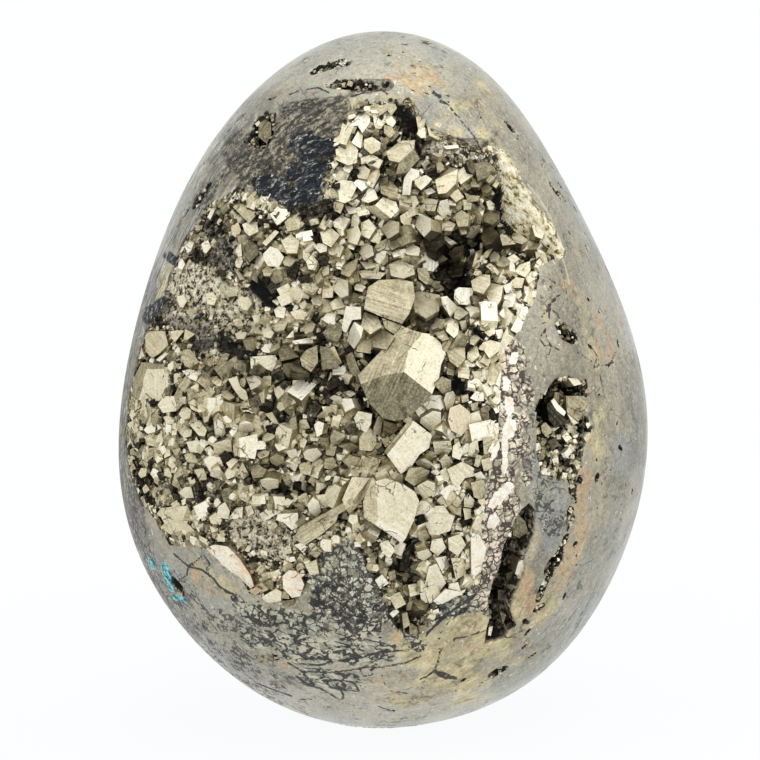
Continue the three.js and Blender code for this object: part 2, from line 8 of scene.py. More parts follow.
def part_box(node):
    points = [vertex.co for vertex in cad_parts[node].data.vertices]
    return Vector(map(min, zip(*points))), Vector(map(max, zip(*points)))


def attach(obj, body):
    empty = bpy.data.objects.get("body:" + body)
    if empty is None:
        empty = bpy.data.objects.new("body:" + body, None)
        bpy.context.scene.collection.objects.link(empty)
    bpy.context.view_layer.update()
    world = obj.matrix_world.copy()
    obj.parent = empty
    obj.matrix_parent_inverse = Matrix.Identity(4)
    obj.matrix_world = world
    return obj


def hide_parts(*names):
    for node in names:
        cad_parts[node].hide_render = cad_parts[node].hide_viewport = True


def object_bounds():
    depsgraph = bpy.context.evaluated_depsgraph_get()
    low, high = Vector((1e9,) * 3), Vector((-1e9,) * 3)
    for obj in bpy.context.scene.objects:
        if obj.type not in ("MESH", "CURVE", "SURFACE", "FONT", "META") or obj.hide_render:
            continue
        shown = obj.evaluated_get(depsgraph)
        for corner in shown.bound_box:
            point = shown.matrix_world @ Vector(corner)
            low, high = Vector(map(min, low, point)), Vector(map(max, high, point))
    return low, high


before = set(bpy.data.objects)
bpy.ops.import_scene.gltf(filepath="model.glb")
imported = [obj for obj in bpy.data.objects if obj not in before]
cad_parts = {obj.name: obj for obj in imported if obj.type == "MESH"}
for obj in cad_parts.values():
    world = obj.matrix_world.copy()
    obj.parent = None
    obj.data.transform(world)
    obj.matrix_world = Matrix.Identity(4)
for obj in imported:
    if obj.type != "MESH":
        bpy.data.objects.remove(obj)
cad_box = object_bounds()

# The egg's form, in millimetres, in the frame's own axes
MM = 0.001  # in Blender's metres
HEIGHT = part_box("egg_body")[1].z / MM
GROUND_OFF = 1.0
BREADTH = 60.3
FLATTENING = 0.97
FULLNESS = (1, 0.227, -0.089, -0.169, 0.112, 0.109)
SWAY = (0.166, 0.188, 0.053, -0.207, 0.13, -0.132, -0.198)
HEART = np.array([0.0, 0.0, 36.0])
MAP_RADIUS = 33.0  # of the ball that the map is laid round
SKIN = 0.09        # the polish lies this far inside the ideal egg
POLISH_GAP = 0.14  # crystals are ground off this far below the ideal egg

# The camera. Places on the front are given as pixels of its picture, counted from the top left
PICTURE = 760
EYE_DISTANCE = 400.0
EYE_TILT = radians(10)
EYE_TARGET = np.array([0.0, 0.0, 39.6])
FOCUS = 3450.0
PIXEL = EYE_DISTANCE / FOCUS  # millimetres on the front
RIGHT = np.array([1.0, 0.0, 0.0])
AHEAD = np.array([0.0, cos(EYE_TILT), -sin(EYE_TILT)])
ABOVE = np.array([0.0, sin(EYE_TILT), cos(EYE_TILT)])
EYE = EYE_TARGET - EYE_DISTANCE * AHEAD

# The edge of the hollow, and of the crust in it: they part at the ledge on the right and below
TOP_EDGE = [(350, 101), (395, 97), (420, 110), (436, 134), (476, 148), (500, 150)]
RIGHT_EDGE = [
    (542, 268), (538, 292), (526, 322), (508, 350), (502, 400), (500, 450), (490, 482), (484, 520),
    (486, 560), (478, 590), (446, 606), (420, 640),
]
LEFT_EDGE = [
    (206, 550), (168, 546), (152, 520), (134, 492), (126, 462), (124, 430), (128, 396), (138, 350),
    (147, 322), (162, 304), (170, 272), (182, 240), (206, 204), (240, 184), (286, 204), (322, 196),
    (330, 150),
]
HOLLOW_EDGE = [
    *TOP_EDGE, (522, 178), (540, 214), (562, 240), (558, 258), *RIGHT_EDGE,
    (396, 634), (372, 606), (332, 612), (296, 612), (262, 606), (226, 572), *LEFT_EDGE,
]
CRUST_EDGE = [
    *TOP_EDGE, (514, 190), (532, 222), (556, 240), (556, 258), *RIGHT_EDGE,
    (398, 630), (376, 580), (352, 540), (310, 560), (290, 606), (248, 596), *LEFT_EDGE,
]
# Where crystals stand singly in the etched polish
FLECKED_EDGE = [
    (252, 180), (264, 166), (290, 152), (316, 158), (334, 140), (334, 196), (322, 198), (286, 206),
]
# How deep the hollow is: picture place, millimetres
SOUNDINGS = [
    (135, 420, 1.6), (140, 480, 2.4), (152, 516, 1.8), (148, 345, 1.7), (162, 292, 1.7), (200, 330, 3.2),
    (158, 386, 1.9), (230, 350, 4.6), (264, 378, 5.4), (200, 470, 3.6), (256, 520, 4.0), (300, 480, 5.0),
    (344, 460, 5.6), (372, 450, 6.0), (300, 400, 5.4), (350, 390, 6.0), (340, 300, 4.2), (280, 250, 3.6),
    (220, 250, 2.8), (195, 222, 1.8), (250, 202, 2.2), (300, 216, 2.8), (344, 180, 3.2), (352, 122, 2.2),
    (382, 112, 2.0), (406, 122, 4.2), (430, 172, 4.2), (470, 180, 4.6), (500, 212, 6.6), (524, 234, 6.0),
    (450, 250, 8.2), (458, 276, 8.2), (428, 262, 7.2), (398, 240, 4.8), (492, 272, 3.8), (532, 272, 2.2),
    (516, 302, 2.2), (496, 330, 2.2), (460, 330, 3.2), (392, 300, 4.2), (400, 372, 5.4), (432, 404, 4.8),
    (460, 430, 3.8), (488, 400, 2.0), (490, 460, 2.2), (468, 500, 2.8), (440, 520, 3.8), (470, 560, 2.8),
    (440, 588, 2.8), (410, 612, 4.2), (398, 566, 4.4), (388, 520, 4.4), (350, 512, 3.6), (345, 560, 1.6),
    (318, 590, 1.1), (284, 590, 1.8), (246, 566, 2.6), (196, 528, 2.2), (174, 516, 2.0), (360, 594, 1.2),
]
# How far in from the edge the wall runs before the floor is reached: picture place, millimetres
WALL_RUNS = [
    (520, 190, 3.4), (545, 235, 2.6), (500, 160, 2.4), (560, 262, 1.2), (505, 400, 1.4), (486, 540, 1.4),
    (440, 606, 1.6), (410, 636, 1.2), (350, 600, 8.0), (320, 590, 8.0), (270, 600, 1.6), (200, 548, 1.8),
    (150, 516, 2.0), (126, 450, 2.4), (130, 390, 1.4), (150, 300, 1.6), (200, 208, 2.0), (260, 190, 3.5),
    (310, 200, 3.5), (335, 150, 2.0), (380, 100, 1.4), (440, 130, 1.4),
]
VUG_EDGE = [
    (548, 388), (558, 378), (572, 375), (586, 383), (591, 397), (587, 412), (593, 428), (588, 441),
    (584, 454), (585, 466), (576, 477), (560, 480), (542, 474), (537, 450), (536, 425), (537, 405),
]
VUG_SOUNDINGS = [(546, 408, 6.2), (566, 396, 4.6), (580, 420, 4.0), (552, 446, 4.0), (574, 464, 2.4)]
CLEFT_EDGE = [
    (530, 503), (537, 512), (536, 536), (527, 556), (526, 578), (514, 598), (513, 612), (517, 626),
    (506, 640), (484, 647), (489, 622), (490, 592), (499, 570), (506, 545), (515, 520),
]
CLEFT_SOUNDINGS = [(526, 516, 3.6), (520, 540, 4.6), (508, 570, 6.0), (500, 600, 5.6), (496, 632, 3.0)]
# Pits in the polish: picture place, length, width, depth, tilt of the long side
BLUE_PIT = (177, 587, 2.6, 1.9, 1.4, 122)
PITS = [
    BLUE_PIT,
    (261, 129, 5.0, 3.9, 2.6, 120), (201, 194, 3.4, 1.5, 1.6, 65), (328, 65, 4.6, 1.5, 1.2, 24),
    (350, 83, 5.8, 1.6, 1.3, 0), (512, 127, 2.2, 1.0, 1.2, 120), (568, 332, 4.2, 2.0, 1.7, 138),
    (556, 190, 2.6, 0.8, 1.0, 115), (275, 658, 1.1, 0.9, 0.9, 90), (497, 674, 2.4, 1.6, 1.4, 30),
    (574, 489, 1.8, 1.5, 1.3, 100), (571, 514, 1.7, 1.1, 1.1, 100), (566, 541, 1.7, 1.0, 1.1, 70),
    (555, 564, 3.2, 1.9, 1.7, 64), (543, 590, 2.0, 1.2, 1.2, 80), (540, 609, 1.6, 0.9, 1.0, 30),
    (586, 387, 1.7, 0.9, 0.9, 70),
]
# Crystals of several faces: each face is its tone (its brightness with painted light and shade), how far it
# leans right and up in degrees, and its corners in the picture
GROWN_CRYSTALS = [
    [
        (0.72, 34, 14, (404, 372), (408, 351), (415, 342), (423, 333), (430, 334), (440, 342), (446, 354),
         (441, 365), (439, 378), (434, 389), (432, 394)),
        (0.33, -8, -38, (404, 372), (432, 394), (426, 402), (412, 414), (405, 419), (395, 421), (383, 418),
         (371, 405), (361, 384), (382, 376)),
        (0.42, -30, 26, (404, 372), (382, 376), (361, 384), (358, 375), (380, 352), (402, 326), (412, 330),
         (423, 333), (415, 342), (408, 351)),
    ],
    [
        (0.45, 8, 16, (365, 301), (368, 287), (379, 280), (400, 279), (413, 282), (415, 298), (409, 314),
         (386, 307)),
        (0.60, -4, -28, (365, 301), (386, 307), (409, 314), (402, 324), (380, 316), (364, 309)),
    ],
    [
        (0.64, 18, 4, (376, 482), (386, 479), (403, 484), (415, 492), (419, 501), (414, 520), (406, 538),
         (378, 520)),
        (0.46, -34, 4, (372, 478), (376, 482), (378, 520), (374, 524), (364, 518), (363, 502)),
        (0.90, 0, -40, (378, 520), (406, 538), (402, 543), (374, 524)),
    ],
    [
        (0.60, -14, 26, (386, 152), (400, 141), (415, 140), (414, 149), (399, 161), (389, 160)),
        (0.33, 12, -30, (399, 161), (414, 149), (420, 158), (407, 172), (396, 174)),
    ],
    [
        (0.66, 14, 18, (375, 205), (383, 197), (396, 202), (399, 210), (391, 218), (383, 212)),
        (0.36, -16, -24, (365, 207), (375, 205), (383, 212), (391, 218), (380, 219), (369, 211)),
    ],
    [
        (0.70, 6, 4, (147, 369), (168, 369), (172, 380), (169, 391), (159, 401), (136, 400), (143, 386),
         (143, 379)),
        (0.36, -2, 50, (140, 362), (168, 363), (168, 369), (147, 369)),
        (0.38, -50, 4, (140, 362), (147, 369), (143, 379), (143, 386), (136, 400), (131, 394), (134, 376)),
    ],
    [
        (0.72, -4, 4, (155, 405), (162, 396), (174, 396), (176, 404), (176, 411), (162, 413)),
        (0.36, 44, 6, (174, 396), (179, 386), (184, 390), (183, 404), (176, 411), (176, 404)),
    ],
    [
        (0.76, 14, -8, (414, 421), (432, 435), (429, 448), (419, 455), (412, 466), (401, 474), (387, 455)),
        (0.40, -34, 24, (409, 420), (414, 421), (387, 455), (384, 452)),
    ],
    [
        (0.55, 6, 10, (342, 500), (352, 477), (370, 478), (352, 502), (346, 511)),
        (0.44, 20, -24, (346, 511), (352, 502), (370, 478), (376, 482), (356, 508), (349, 514)),
    ],
    [
        (0.42, -10, 16, (292, 541), (300, 527), (330, 510), (352, 499), (354, 506), (324, 523), (298, 541)),
        (0.50, 2, -24, (298, 541), (324, 523), (338, 515), (336, 522), (322, 534), (302, 547)),
    ],
    [
        (0.76, 8, 2, (239, 438), (257, 434), (258, 443), (255, 459), (240, 457)),
        (0.50, -46, 0, (232, 440), (239, 438), (240, 457), (234, 455)),
    ],
    [
        (0.85, -10, 4, (314, 425), (318, 421), (324, 423), (322, 434), (317, 437)),
        (0.36, 44, 4, (324, 423), (329, 424), (327, 433), (322, 434)),
    ],
    [
        (0.80, 2, -12, (278, 514), (298, 513), (298, 527), (292, 530), (283, 522), (276, 520)),
        (0.34, 0, 44, (283, 510), (298, 509), (298, 513), (278, 514)),
    ],
    [
        (0.60, -8, 10, (364, 138), (372, 133), (381, 140), (380, 149), (371, 154), (364, 148)),
        (0.30, 40, -8, (381, 140), (387, 147), (380, 155), (371, 154), (380, 149)),
    ],
    [
        (0.34, -30, 8, (320, 346), (330, 348), (339, 364), (336, 368), (322, 370)),
        (0.72, 34, 6, (330, 348), (334, 346), (342, 363), (339, 364)),
    ],
    [
        (0.60, -6, 20, (157, 516), (170, 507), (187, 506), (183, 520), (163, 524)),
        (0.48, -12, -14, (163, 524), (183, 520), (178, 539), (168, 533)),
        (0.40, 30, 0, (183, 520), (187, 506), (192, 516), (188, 532), (178, 539)),
    ],
]

# Crystals that show one face: its tone (its brightness with painted light and shade), and its corners in the
# picture
SINGLE_FACES = [
    (0.82, 346, 306, 361, 307, 361, 319, 352, 320, 346, 333, 341, 330),
    (0.96, 354, 322, 363, 325, 361, 338, 354, 349, 347, 341, 350, 330),
    (0.3, 323, 333, 330, 322, 340, 321, 342, 333, 338, 342, 326, 338),
    (0.4, 345, 356, 352, 352, 360, 372, 357, 378, 350, 372), (0.95, 343, 392, 352, 390, 356, 394, 350, 397),
    (0.75, 354, 418, 358, 411, 372, 414, 371, 424, 366, 433, 357, 427),
    (0.8, 374, 427, 378, 416, 383, 417, 381, 434, 373, 435),
    (0.38, 384, 421, 395, 424, 398, 430, 390, 436, 383, 433),
    (0.7, 421, 418, 433, 411, 441, 412, 441, 422, 430, 431, 420, 423),
    (0.6, 433, 442, 451, 441, 452, 449, 448, 455, 435, 454),
    (0.7, 453, 446, 459, 441, 463, 452, 460, 460, 452, 457),
    (0.44, 435, 384, 443, 376, 451, 380, 451, 391, 443, 394),
    (0.65, 446, 393, 453, 391, 456, 396, 453, 406, 447, 411, 444, 400),
    (0.44, 447, 352, 453, 346, 465, 348, 467, 358, 460, 366, 450, 361),
    (0.66, 468, 349, 477, 346, 481, 355, 474, 361, 467, 358),
    (0.66, 482, 343, 490, 340, 502, 342, 501, 350, 490, 358, 485, 352),
    (0.72, 448, 320, 458, 319, 459, 333, 454, 338, 446, 331),
    (0.92, 431, 324, 436, 318, 445, 318, 440, 325, 432, 330),
    (0.9, 441, 296, 447, 296, 458, 307, 451, 318, 443, 306),
    (0.64, 455, 310, 459, 306, 469, 313, 460, 319, 454, 318),
    (0.42, 434, 333, 441, 326, 446, 333, 449, 339, 442, 341),
    (0.6, 412, 294, 420, 291, 440, 295, 439, 311, 426, 318, 415, 312),
    (0.96, 470, 398, 476, 391, 484, 393, 484, 401, 476, 401),
    (0.6, 458, 370, 463, 366, 470, 370, 469, 379, 458, 377),
    (0.62, 450, 408, 460, 404, 470, 412, 470, 427, 461, 436, 451, 430, 448, 420),
    (0.34, 482, 408, 490, 405, 495, 414, 487, 421, 480, 418),
    (0.84, 488, 425, 495, 424, 497, 430, 490, 434),
    (0.66, 471, 444, 480, 440, 479, 452, 474, 458, 468, 455), (0.4, 483, 438, 492, 437, 493, 452, 484, 455),
    (0.5, 481, 460, 492, 457, 494, 468, 484, 471),
    (0.6, 448, 470, 463, 462, 474, 468, 476, 476, 465, 478, 457, 489, 452, 483),
    (0.66, 415, 462, 425, 458, 434, 465, 429, 469, 418, 466),
    (0.4, 405, 480, 410, 469, 421, 467, 430, 471, 427, 479, 414, 486),
    (0.62, 417, 486, 428, 481, 436, 484, 435, 494, 424, 499, 418, 492),
    (0.4, 471, 483, 484, 480, 488, 492, 480, 500, 474, 497),
    (0.64, 424, 520, 435, 506, 444, 506, 450, 515, 456, 518, 450, 531, 438, 535, 429, 534),
    (0.48, 445, 500, 455, 494, 463, 502, 461, 516, 452, 513, 446, 506),
    (0.66, 464, 498, 469, 494, 475, 501, 472, 508, 464, 507),
    (0.66, 343, 462, 350, 455, 360, 458, 359, 466, 350, 468),
    (0.48, 338, 446, 351, 443, 359, 447, 350, 452), (0.7, 331, 433, 344, 430, 345, 436, 337, 441),
    (0.64, 325, 459, 333, 457, 336, 462, 332, 470, 324, 468),
    (0.92, 354, 119, 360, 111, 370, 113, 370, 119, 362, 126),
    (0.7, 373, 114, 381, 110, 389, 108, 392, 114, 382, 120, 374, 119),
    (0.95, 351, 137, 358, 131, 363, 135, 361, 148, 356, 143),
    (0.7, 335, 146, 342, 139, 350, 140, 358, 149, 356, 157, 347, 159, 336, 156),
    (0.7, 363, 159, 370, 153, 383, 157, 379, 163, 368, 164),
    (0.68, 356, 169, 363, 165, 370, 168, 367, 176, 358, 178),
    (0.68, 363, 179, 371, 171, 379, 168, 380, 174, 373, 184, 366, 184),
    (0.94, 402, 195, 404, 178, 411, 168, 420, 168, 419, 176, 412, 181, 410, 195),
    (0.6, 435, 180, 450, 167, 458, 169, 458, 177, 449, 184, 440, 187),
    (0.76, 470, 180, 476, 177, 482, 181, 479, 187, 471, 187),
    (0.74, 334, 184, 341, 180, 352, 181, 357, 186, 350, 197, 344, 199, 335, 197),
    (0.94, 361, 200, 370, 186, 375, 190, 378, 198, 368, 203),
    (0.36, 380, 184, 390, 181, 398, 188, 398, 196, 388, 195, 381, 193),
    (0.94, 345, 207, 352, 205, 357, 209, 356, 213, 349, 214),
    (0.88, 415, 226, 419, 213, 432, 213, 433, 223, 424, 237),
    (0.8, 437, 211, 440, 201, 448, 199, 450, 211, 444, 219),
    (0.58, 421, 206, 426, 198, 438, 200, 435, 211, 427, 211),
    (0.6, 437, 222, 447, 220, 456, 224, 452, 231, 440, 230),
    (0.62, 454, 215, 462, 210, 469, 215, 468, 226, 458, 227),
    (0.7, 466, 237, 472, 226, 480, 225, 480, 231, 473, 239),
    (0.36, 483, 214, 491, 210, 500, 212, 499, 219, 492, 225, 484, 221),
    (0.26, 481, 238, 484, 227, 492, 227, 500, 233, 492, 243, 485, 246),
    (0.52, 495, 242, 502, 233, 510, 238, 516, 244, 500, 246),
    (0.96, 489, 257, 494, 251, 499, 254, 497, 260, 491, 262), (0.7, 507, 258, 514, 254, 520, 259, 513, 264),
    (0.55, 465, 261, 472, 253, 482, 249, 479, 258, 469, 264),
    (0.6, 471, 281, 481, 274, 490, 275, 491, 283, 484, 293, 473, 290),
    (0.66, 485, 292, 492, 283, 504, 285, 505, 296, 500, 304, 490, 303),
    (0.66, 514, 272, 519, 265, 530, 261, 533, 268, 528, 275, 520, 275),
    (0.6, 509, 283, 516, 277, 526, 277, 524, 286, 514, 288),
    (0.66, 389, 264, 399, 260, 414, 266, 415, 273, 404, 276, 391, 275),
    (0.5, 417, 268, 427, 268, 430, 277, 427, 285, 419, 279),
    (0.82, 402, 278, 412, 276, 417, 280, 410, 284, 403, 282), (0.7, 360, 262, 372, 262, 376, 267, 366, 269),
    (0.66, 358, 271, 367, 270, 386, 273, 380, 279, 362, 278),
    (0.76, 331, 288, 337, 277, 348, 281, 348, 293, 341, 298),
    (0.78, 354, 287, 358, 282, 366, 287, 362, 292, 355, 290),
    (0.24, 349, 292, 362, 294, 361, 302, 350, 302),
    (0.68, 327, 244, 337, 242, 344, 247, 339, 255, 329, 254),
    (0.64, 343, 251, 348, 247, 352, 254, 347, 260), (0.7, 359, 252, 363, 241, 372, 246, 374, 255, 364, 260),
    (0.68, 402, 251, 413, 244, 420, 248, 419, 256, 408, 255),
    (0.58, 381, 228, 390, 220, 399, 222, 399, 231, 388, 239),
    (0.68, 400, 216, 408, 211, 412, 219, 408, 229, 401, 222),
    (0.7, 361, 223, 369, 219, 376, 228, 369, 239, 361, 235),
    (0.74, 333, 222, 341, 215, 350, 219, 343, 227, 334, 226),
    (0.62, 320, 232, 331, 228, 340, 235, 330, 243, 322, 240),
    (0.82, 417, 133, 420, 125, 425, 127, 426, 138, 421, 138),
    (0.66, 427, 126, 437, 119, 444, 125, 440, 134, 430, 132),
    (0.12, 423, 240, 432, 232, 444, 233, 445, 243, 437, 250, 428, 248),
    (0.96, 441, 237, 446, 236, 457, 243, 451, 245),
    (0.26, 448, 253, 455, 247, 464, 245, 463, 254, 452, 259), (1., 424, 191, 430, 187, 436, 192, 428, 195),
    (0.34, 474, 163, 485, 160, 495, 166, 489, 173, 480, 176), (0.5, 448, 194, 458, 189, 464, 197, 456, 202),
    (0.62, 482, 177, 489, 173, 495, 178, 489, 183),
    (0.55, 143, 335, 148, 331, 165, 331, 168, 345, 160, 353, 151, 358, 143, 350),
    (0.6, 167, 331, 181, 330, 184, 331, 175, 342, 171, 338), (0.6, 181, 339, 185, 329, 195, 334, 187, 340),
    (0.5, 180, 357, 183, 350, 190, 349, 199, 362, 186, 367, 180, 365),
    (0.9, 152, 359, 165, 352, 169, 353, 158, 361), (0.82, 182, 371, 190, 369, 200, 372, 196, 381, 190, 379),
    (0.6, 174, 374, 180, 372, 181, 380, 174, 384),
    (0.82, 250, 357, 261, 356, 275, 355, 278, 361, 272, 371, 257, 366, 251, 369),
    (0.95, 261, 349, 265, 344, 272, 344, 269, 353, 263, 352),
    (0.9, 246, 378, 252, 375, 260, 377, 261, 384, 257, 387, 251, 390),
    (0.72, 228, 379, 237, 376, 240, 386, 246, 391, 248, 398, 245, 401, 240, 398, 233, 388),
    (0.6, 221, 391, 227, 390, 235, 397, 229, 400, 223, 397),
    (0.76, 208, 423, 214, 417, 221, 422, 226, 434, 222, 437, 215, 434),
    (0.9, 237, 424, 241, 421, 252, 423, 253, 431, 246, 433, 238, 430),
    (0.6, 212, 444, 224, 440, 231, 441, 232, 451, 220, 455, 214, 453),
    (0.72, 186, 442, 199, 440, 200, 453, 190, 452),
    (0.66, 190, 425, 199, 420, 207, 430, 201, 437, 194, 436),
    (0.6, 177, 430, 186, 426, 192, 430, 191, 436, 184, 438),
    (0.62, 160, 417, 170, 415, 175, 418, 173, 424, 163, 424),
    (0.6, 178, 414, 184, 405, 191, 410, 189, 418, 181, 420),
    (0.6, 188, 402, 194, 399, 200, 406, 197, 412, 191, 409),
    (0.86, 143, 430, 149, 423, 156, 422, 161, 428, 154, 432, 146, 434),
    (0.7, 126, 415, 131, 409, 138, 410, 139, 417, 131, 420), (0.7, 124, 424, 132, 421, 141, 426, 130, 429),
    (0.52, 143, 437, 150, 434, 160, 441, 156, 447, 145, 445),
    (0.86, 303, 453, 308, 449, 317, 448, 322, 454, 315, 463, 305, 459),
    (0.86, 286, 451, 296, 449, 298, 456, 294, 460, 289, 457),
    (0.76, 287, 463, 295, 461, 298, 465, 295, 472, 291, 469),
    (0.6, 270, 458, 276, 454, 284, 457, 284, 462, 277, 466, 271, 463),
    (0.6, 257, 455, 261, 450, 270, 451, 268, 456, 260, 459),
    (0.66, 262, 438, 268, 431, 276, 436, 271, 440, 264, 442),
    (0.6, 298, 427, 300, 420, 306, 419, 310, 428, 304, 430), (0.5, 288, 420, 296, 416, 297, 428, 292, 431),
    (0.7, 330, 438, 334, 430, 346, 435, 345, 438, 338, 445, 331, 443),
    (0.4, 325, 447, 337, 446, 334, 456, 326, 455), (0.5, 298, 465, 304, 462, 313, 466, 310, 475, 301, 474),
    (0.44, 249, 467, 258, 464, 266, 470, 262, 477, 253, 478),
    (0.7, 260, 480, 268, 478, 279, 480, 278, 488, 268, 490, 262, 486),
    (0.7, 207, 471, 214, 467, 221, 470, 226, 475, 219, 479, 210, 476),
    (0.56, 194, 470, 203, 468, 206, 474, 207, 480, 199, 480),
    (0.7, 178, 493, 185, 487, 191, 487, 194, 498, 185, 498),
    (0.86, 150, 474, 153, 468, 158, 470, 160, 477, 154, 479),
    (0.6, 134, 475, 141, 468, 147, 468, 146, 476, 137, 479),
    (0.86, 307, 505, 313, 497, 319, 502, 321, 512, 316, 517, 310, 513),
    (0.7, 216, 508, 225, 502, 230, 511, 228, 519, 216, 518),
    (0.76, 231, 515, 236, 508, 243, 507, 242, 518, 233, 519),
    (0.66, 205, 520, 215, 513, 222, 520, 220, 525, 210, 524),
    (0.66, 245, 507, 251, 505, 254, 513, 248, 517), (0.6, 155, 515, 161, 508, 171, 507, 166, 515, 158, 518),
    (0.56, 168, 505, 177, 500, 181, 506, 174, 511),
    (0.56, 159, 528, 170, 519, 187, 522, 182, 530, 170, 534),
    (0.56, 188, 514, 196, 507, 198, 517, 190, 522),
    (0.34, 278, 352, 285, 343, 291, 347, 299, 357, 281, 361),
    (0.44, 300, 358, 306, 350, 317, 345, 318, 362, 311, 372, 302, 366),
    (0.38, 283, 364, 297, 361, 302, 368, 310, 374, 290, 370),
    (0.96, 292, 341, 307, 338, 313, 336, 313, 343, 295, 344), (0.8, 286, 338, 295, 328, 296, 337),
    (0.7, 262, 332, 268, 326, 274, 333, 271, 338, 264, 337),
    (0.8, 274, 310, 281, 304, 286, 308, 284, 318, 276, 317),
    (0.6, 290, 312, 303, 308, 310, 315, 308, 320, 295, 319), (0.8, 316, 417, 322, 412, 328, 417, 321, 419),
    (0.76, 328, 404, 337, 405, 336, 415, 331, 411), (0.7, 226, 463, 233, 458, 239, 460, 230, 469),
    (0.56, 238, 470, 243, 463, 249, 475, 243, 479),
    (0.76, 299, 441, 304, 437, 307, 441, 304, 448, 300, 447),
    (0.86, 263, 254, 270, 246, 278, 249, 284, 257, 279, 267, 268, 266, 264, 260),
    (0.7, 281, 241, 291, 234, 299, 241, 295, 250, 286, 251),
    (0.96, 312, 245, 319, 243, 327, 245, 327, 251, 320, 253),
    (0.7, 242, 224, 250, 221, 257, 222, 258, 231, 248, 234, 244, 231),
    (0.5, 233, 207, 237, 202, 248, 206, 255, 215, 247, 220, 240, 214),
    (0.86, 226, 199, 237, 189, 242, 181, 245, 184, 238, 195), (0.9, 206, 216, 213, 206, 216, 208, 209, 218),
    (0.9, 184, 246, 190, 240, 195, 240, 190, 250, 186, 252),
    (0.9, 200, 243, 208, 240, 211, 247, 205, 252, 201, 250),
    (0.28, 243, 246, 250, 240, 257, 245, 258, 255, 248, 261, 243, 255),
    (0.7, 236, 249, 241, 243, 242, 256, 238, 257), (0.7, 262, 243, 275, 230, 279, 232, 266, 246),
    (0.8, 272, 301, 279, 297, 284, 299, 277, 305), (0.6, 298, 304, 305, 300, 308, 306, 302, 310),
    (0.56, 231, 227, 238, 222, 241, 230, 238, 238, 232, 235), (0.7, 219, 284, 226, 283, 238, 296, 228, 296),
    (0.7, 234, 268, 238, 270, 245, 279, 240, 280), (0.42, 248, 591, 257, 587, 262, 590, 252, 599),
    (0.76, 380, 543, 388, 540, 395, 550, 390, 558, 382, 553),
    (0.98, 375, 580, 382, 575, 389, 583, 380, 589), (0.8, 417, 552, 428, 549, 432, 555, 424, 561, 418, 558),
    (0.7, 425, 584, 430, 570, 438, 567, 446, 583, 440, 591, 428, 589),
    (1., 420, 593, 428, 591, 433, 599, 426, 603, 421, 599), (0.5, 402, 615, 407, 612, 410, 625, 404, 633),
    (0.4, 409, 622, 417, 627, 418, 635, 410, 636), (0.86, 293, 547, 300, 544, 308, 547, 303, 553),
    (0.6, 305, 565, 316, 560, 319, 574, 310, 575), (0.86, 259, 514, 263, 512, 271, 519, 263, 521),
    (1., 472, 534, 481, 537, 486, 548, 485, 560, 478, 580, 473, 586, 471, 572),
    (0.7, 432, 540, 442, 538, 446, 548, 438, 556, 430, 550),
    (0.6, 448, 538, 460, 534, 466, 545, 458, 556, 449, 550), (0.76, 436, 560, 446, 556, 450, 566, 443, 574),
    (0.54, 452, 560, 464, 558, 466, 574, 456, 580), (0.7, 448, 584, 458, 582, 462, 594, 450, 598),
    (0.5, 346, 96, 353, 93, 362, 95, 361, 104, 352, 108, 345, 103),
    (0.52, 366, 98, 378, 94, 388, 97, 390, 104, 375, 109, 365, 106),
    (0.62, 388, 102, 394, 101, 397, 106, 392, 110, 388, 108),
    (0.36, 370, 119, 372, 120, 371, 128, 363, 127), (0.8, 386, 117, 392, 115, 396, 122, 393, 127, 387, 122),
    (0.7, 374, 122, 380, 122, 382, 128, 376, 130), (0.42, 384, 124, 391, 126, 396, 133, 390, 138, 384, 132),
    (0.34, 396, 128, 400, 131, 392, 142, 389, 140),
    (0.85, 343, 168, 347, 163, 352, 162, 353, 168, 349, 173, 344, 171),
    (0.8, 329, 160, 334, 158, 338, 163, 334, 166, 329, 165),
    (0.66, 349, 190, 355, 190, 358, 196, 352, 200, 347, 197), (0.3, 378, 180, 388, 176, 388, 182, 380, 185),
    (0.7, 414, 178, 420, 175, 424, 182, 421, 189, 415, 184),
    (0.62, 416, 117, 420, 114, 426, 117, 425, 122, 419, 125),
    (0.85, 443, 146, 458, 143, 460, 145, 446, 149),
    (0.72, 436, 163, 440, 161, 444, 166, 440, 169, 437, 170),
    (0.25, 466, 162, 472, 160, 476, 166, 475, 175, 469, 171),
    (0.78, 417, 178, 426, 175, 432, 179, 428, 184, 421, 190, 416, 186),
    (0.55, 480, 185, 487, 184, 492, 188, 488, 193, 482, 192),
    (0.5, 464, 192, 470, 195, 480, 196, 478, 201, 468, 202),
    (0.7, 411, 196, 416, 196, 419, 203, 414, 208, 410, 203),
    (1., 532, 226, 540, 222, 545, 231, 542, 239, 535, 236),
    (0.46, 333, 203, 340, 199, 344, 204, 340, 212, 334, 210),
    (0.63, 347, 196, 358, 196, 357, 203, 352, 205, 346, 201),
    (0.74, 352, 216, 357, 212, 360, 220, 357, 228, 351, 226),
    (0.72, 346, 230, 358, 226, 361, 234, 357, 245, 348, 242),
    (0.68, 334, 226, 342, 224, 344, 234, 341, 236),
    (0.42, 376, 243, 384, 240, 388, 238, 385, 248, 378, 252, 375, 248),
    (0.45, 341, 268, 350, 262, 358, 258, 356, 268, 349, 277, 341, 274),
    (0.68, 315, 276, 322, 266, 329, 265, 329, 274, 321, 277), (0.6, 323, 277, 330, 280, 331, 287, 325, 285),
    (0.62, 302, 282, 310, 283, 318, 288, 312, 293, 304, 290),
    (0.68, 312, 297, 320, 294, 325, 300, 320, 306, 313, 304),
    (0.7, 303, 250, 309, 252, 312, 260, 308, 264, 303, 258), (0.6, 312, 261, 319, 262, 318, 269, 311, 268),
    (0.43, 381, 260, 388, 254, 388, 262, 383, 266), (0.45, 353, 271, 358, 272, 360, 281, 354, 283),
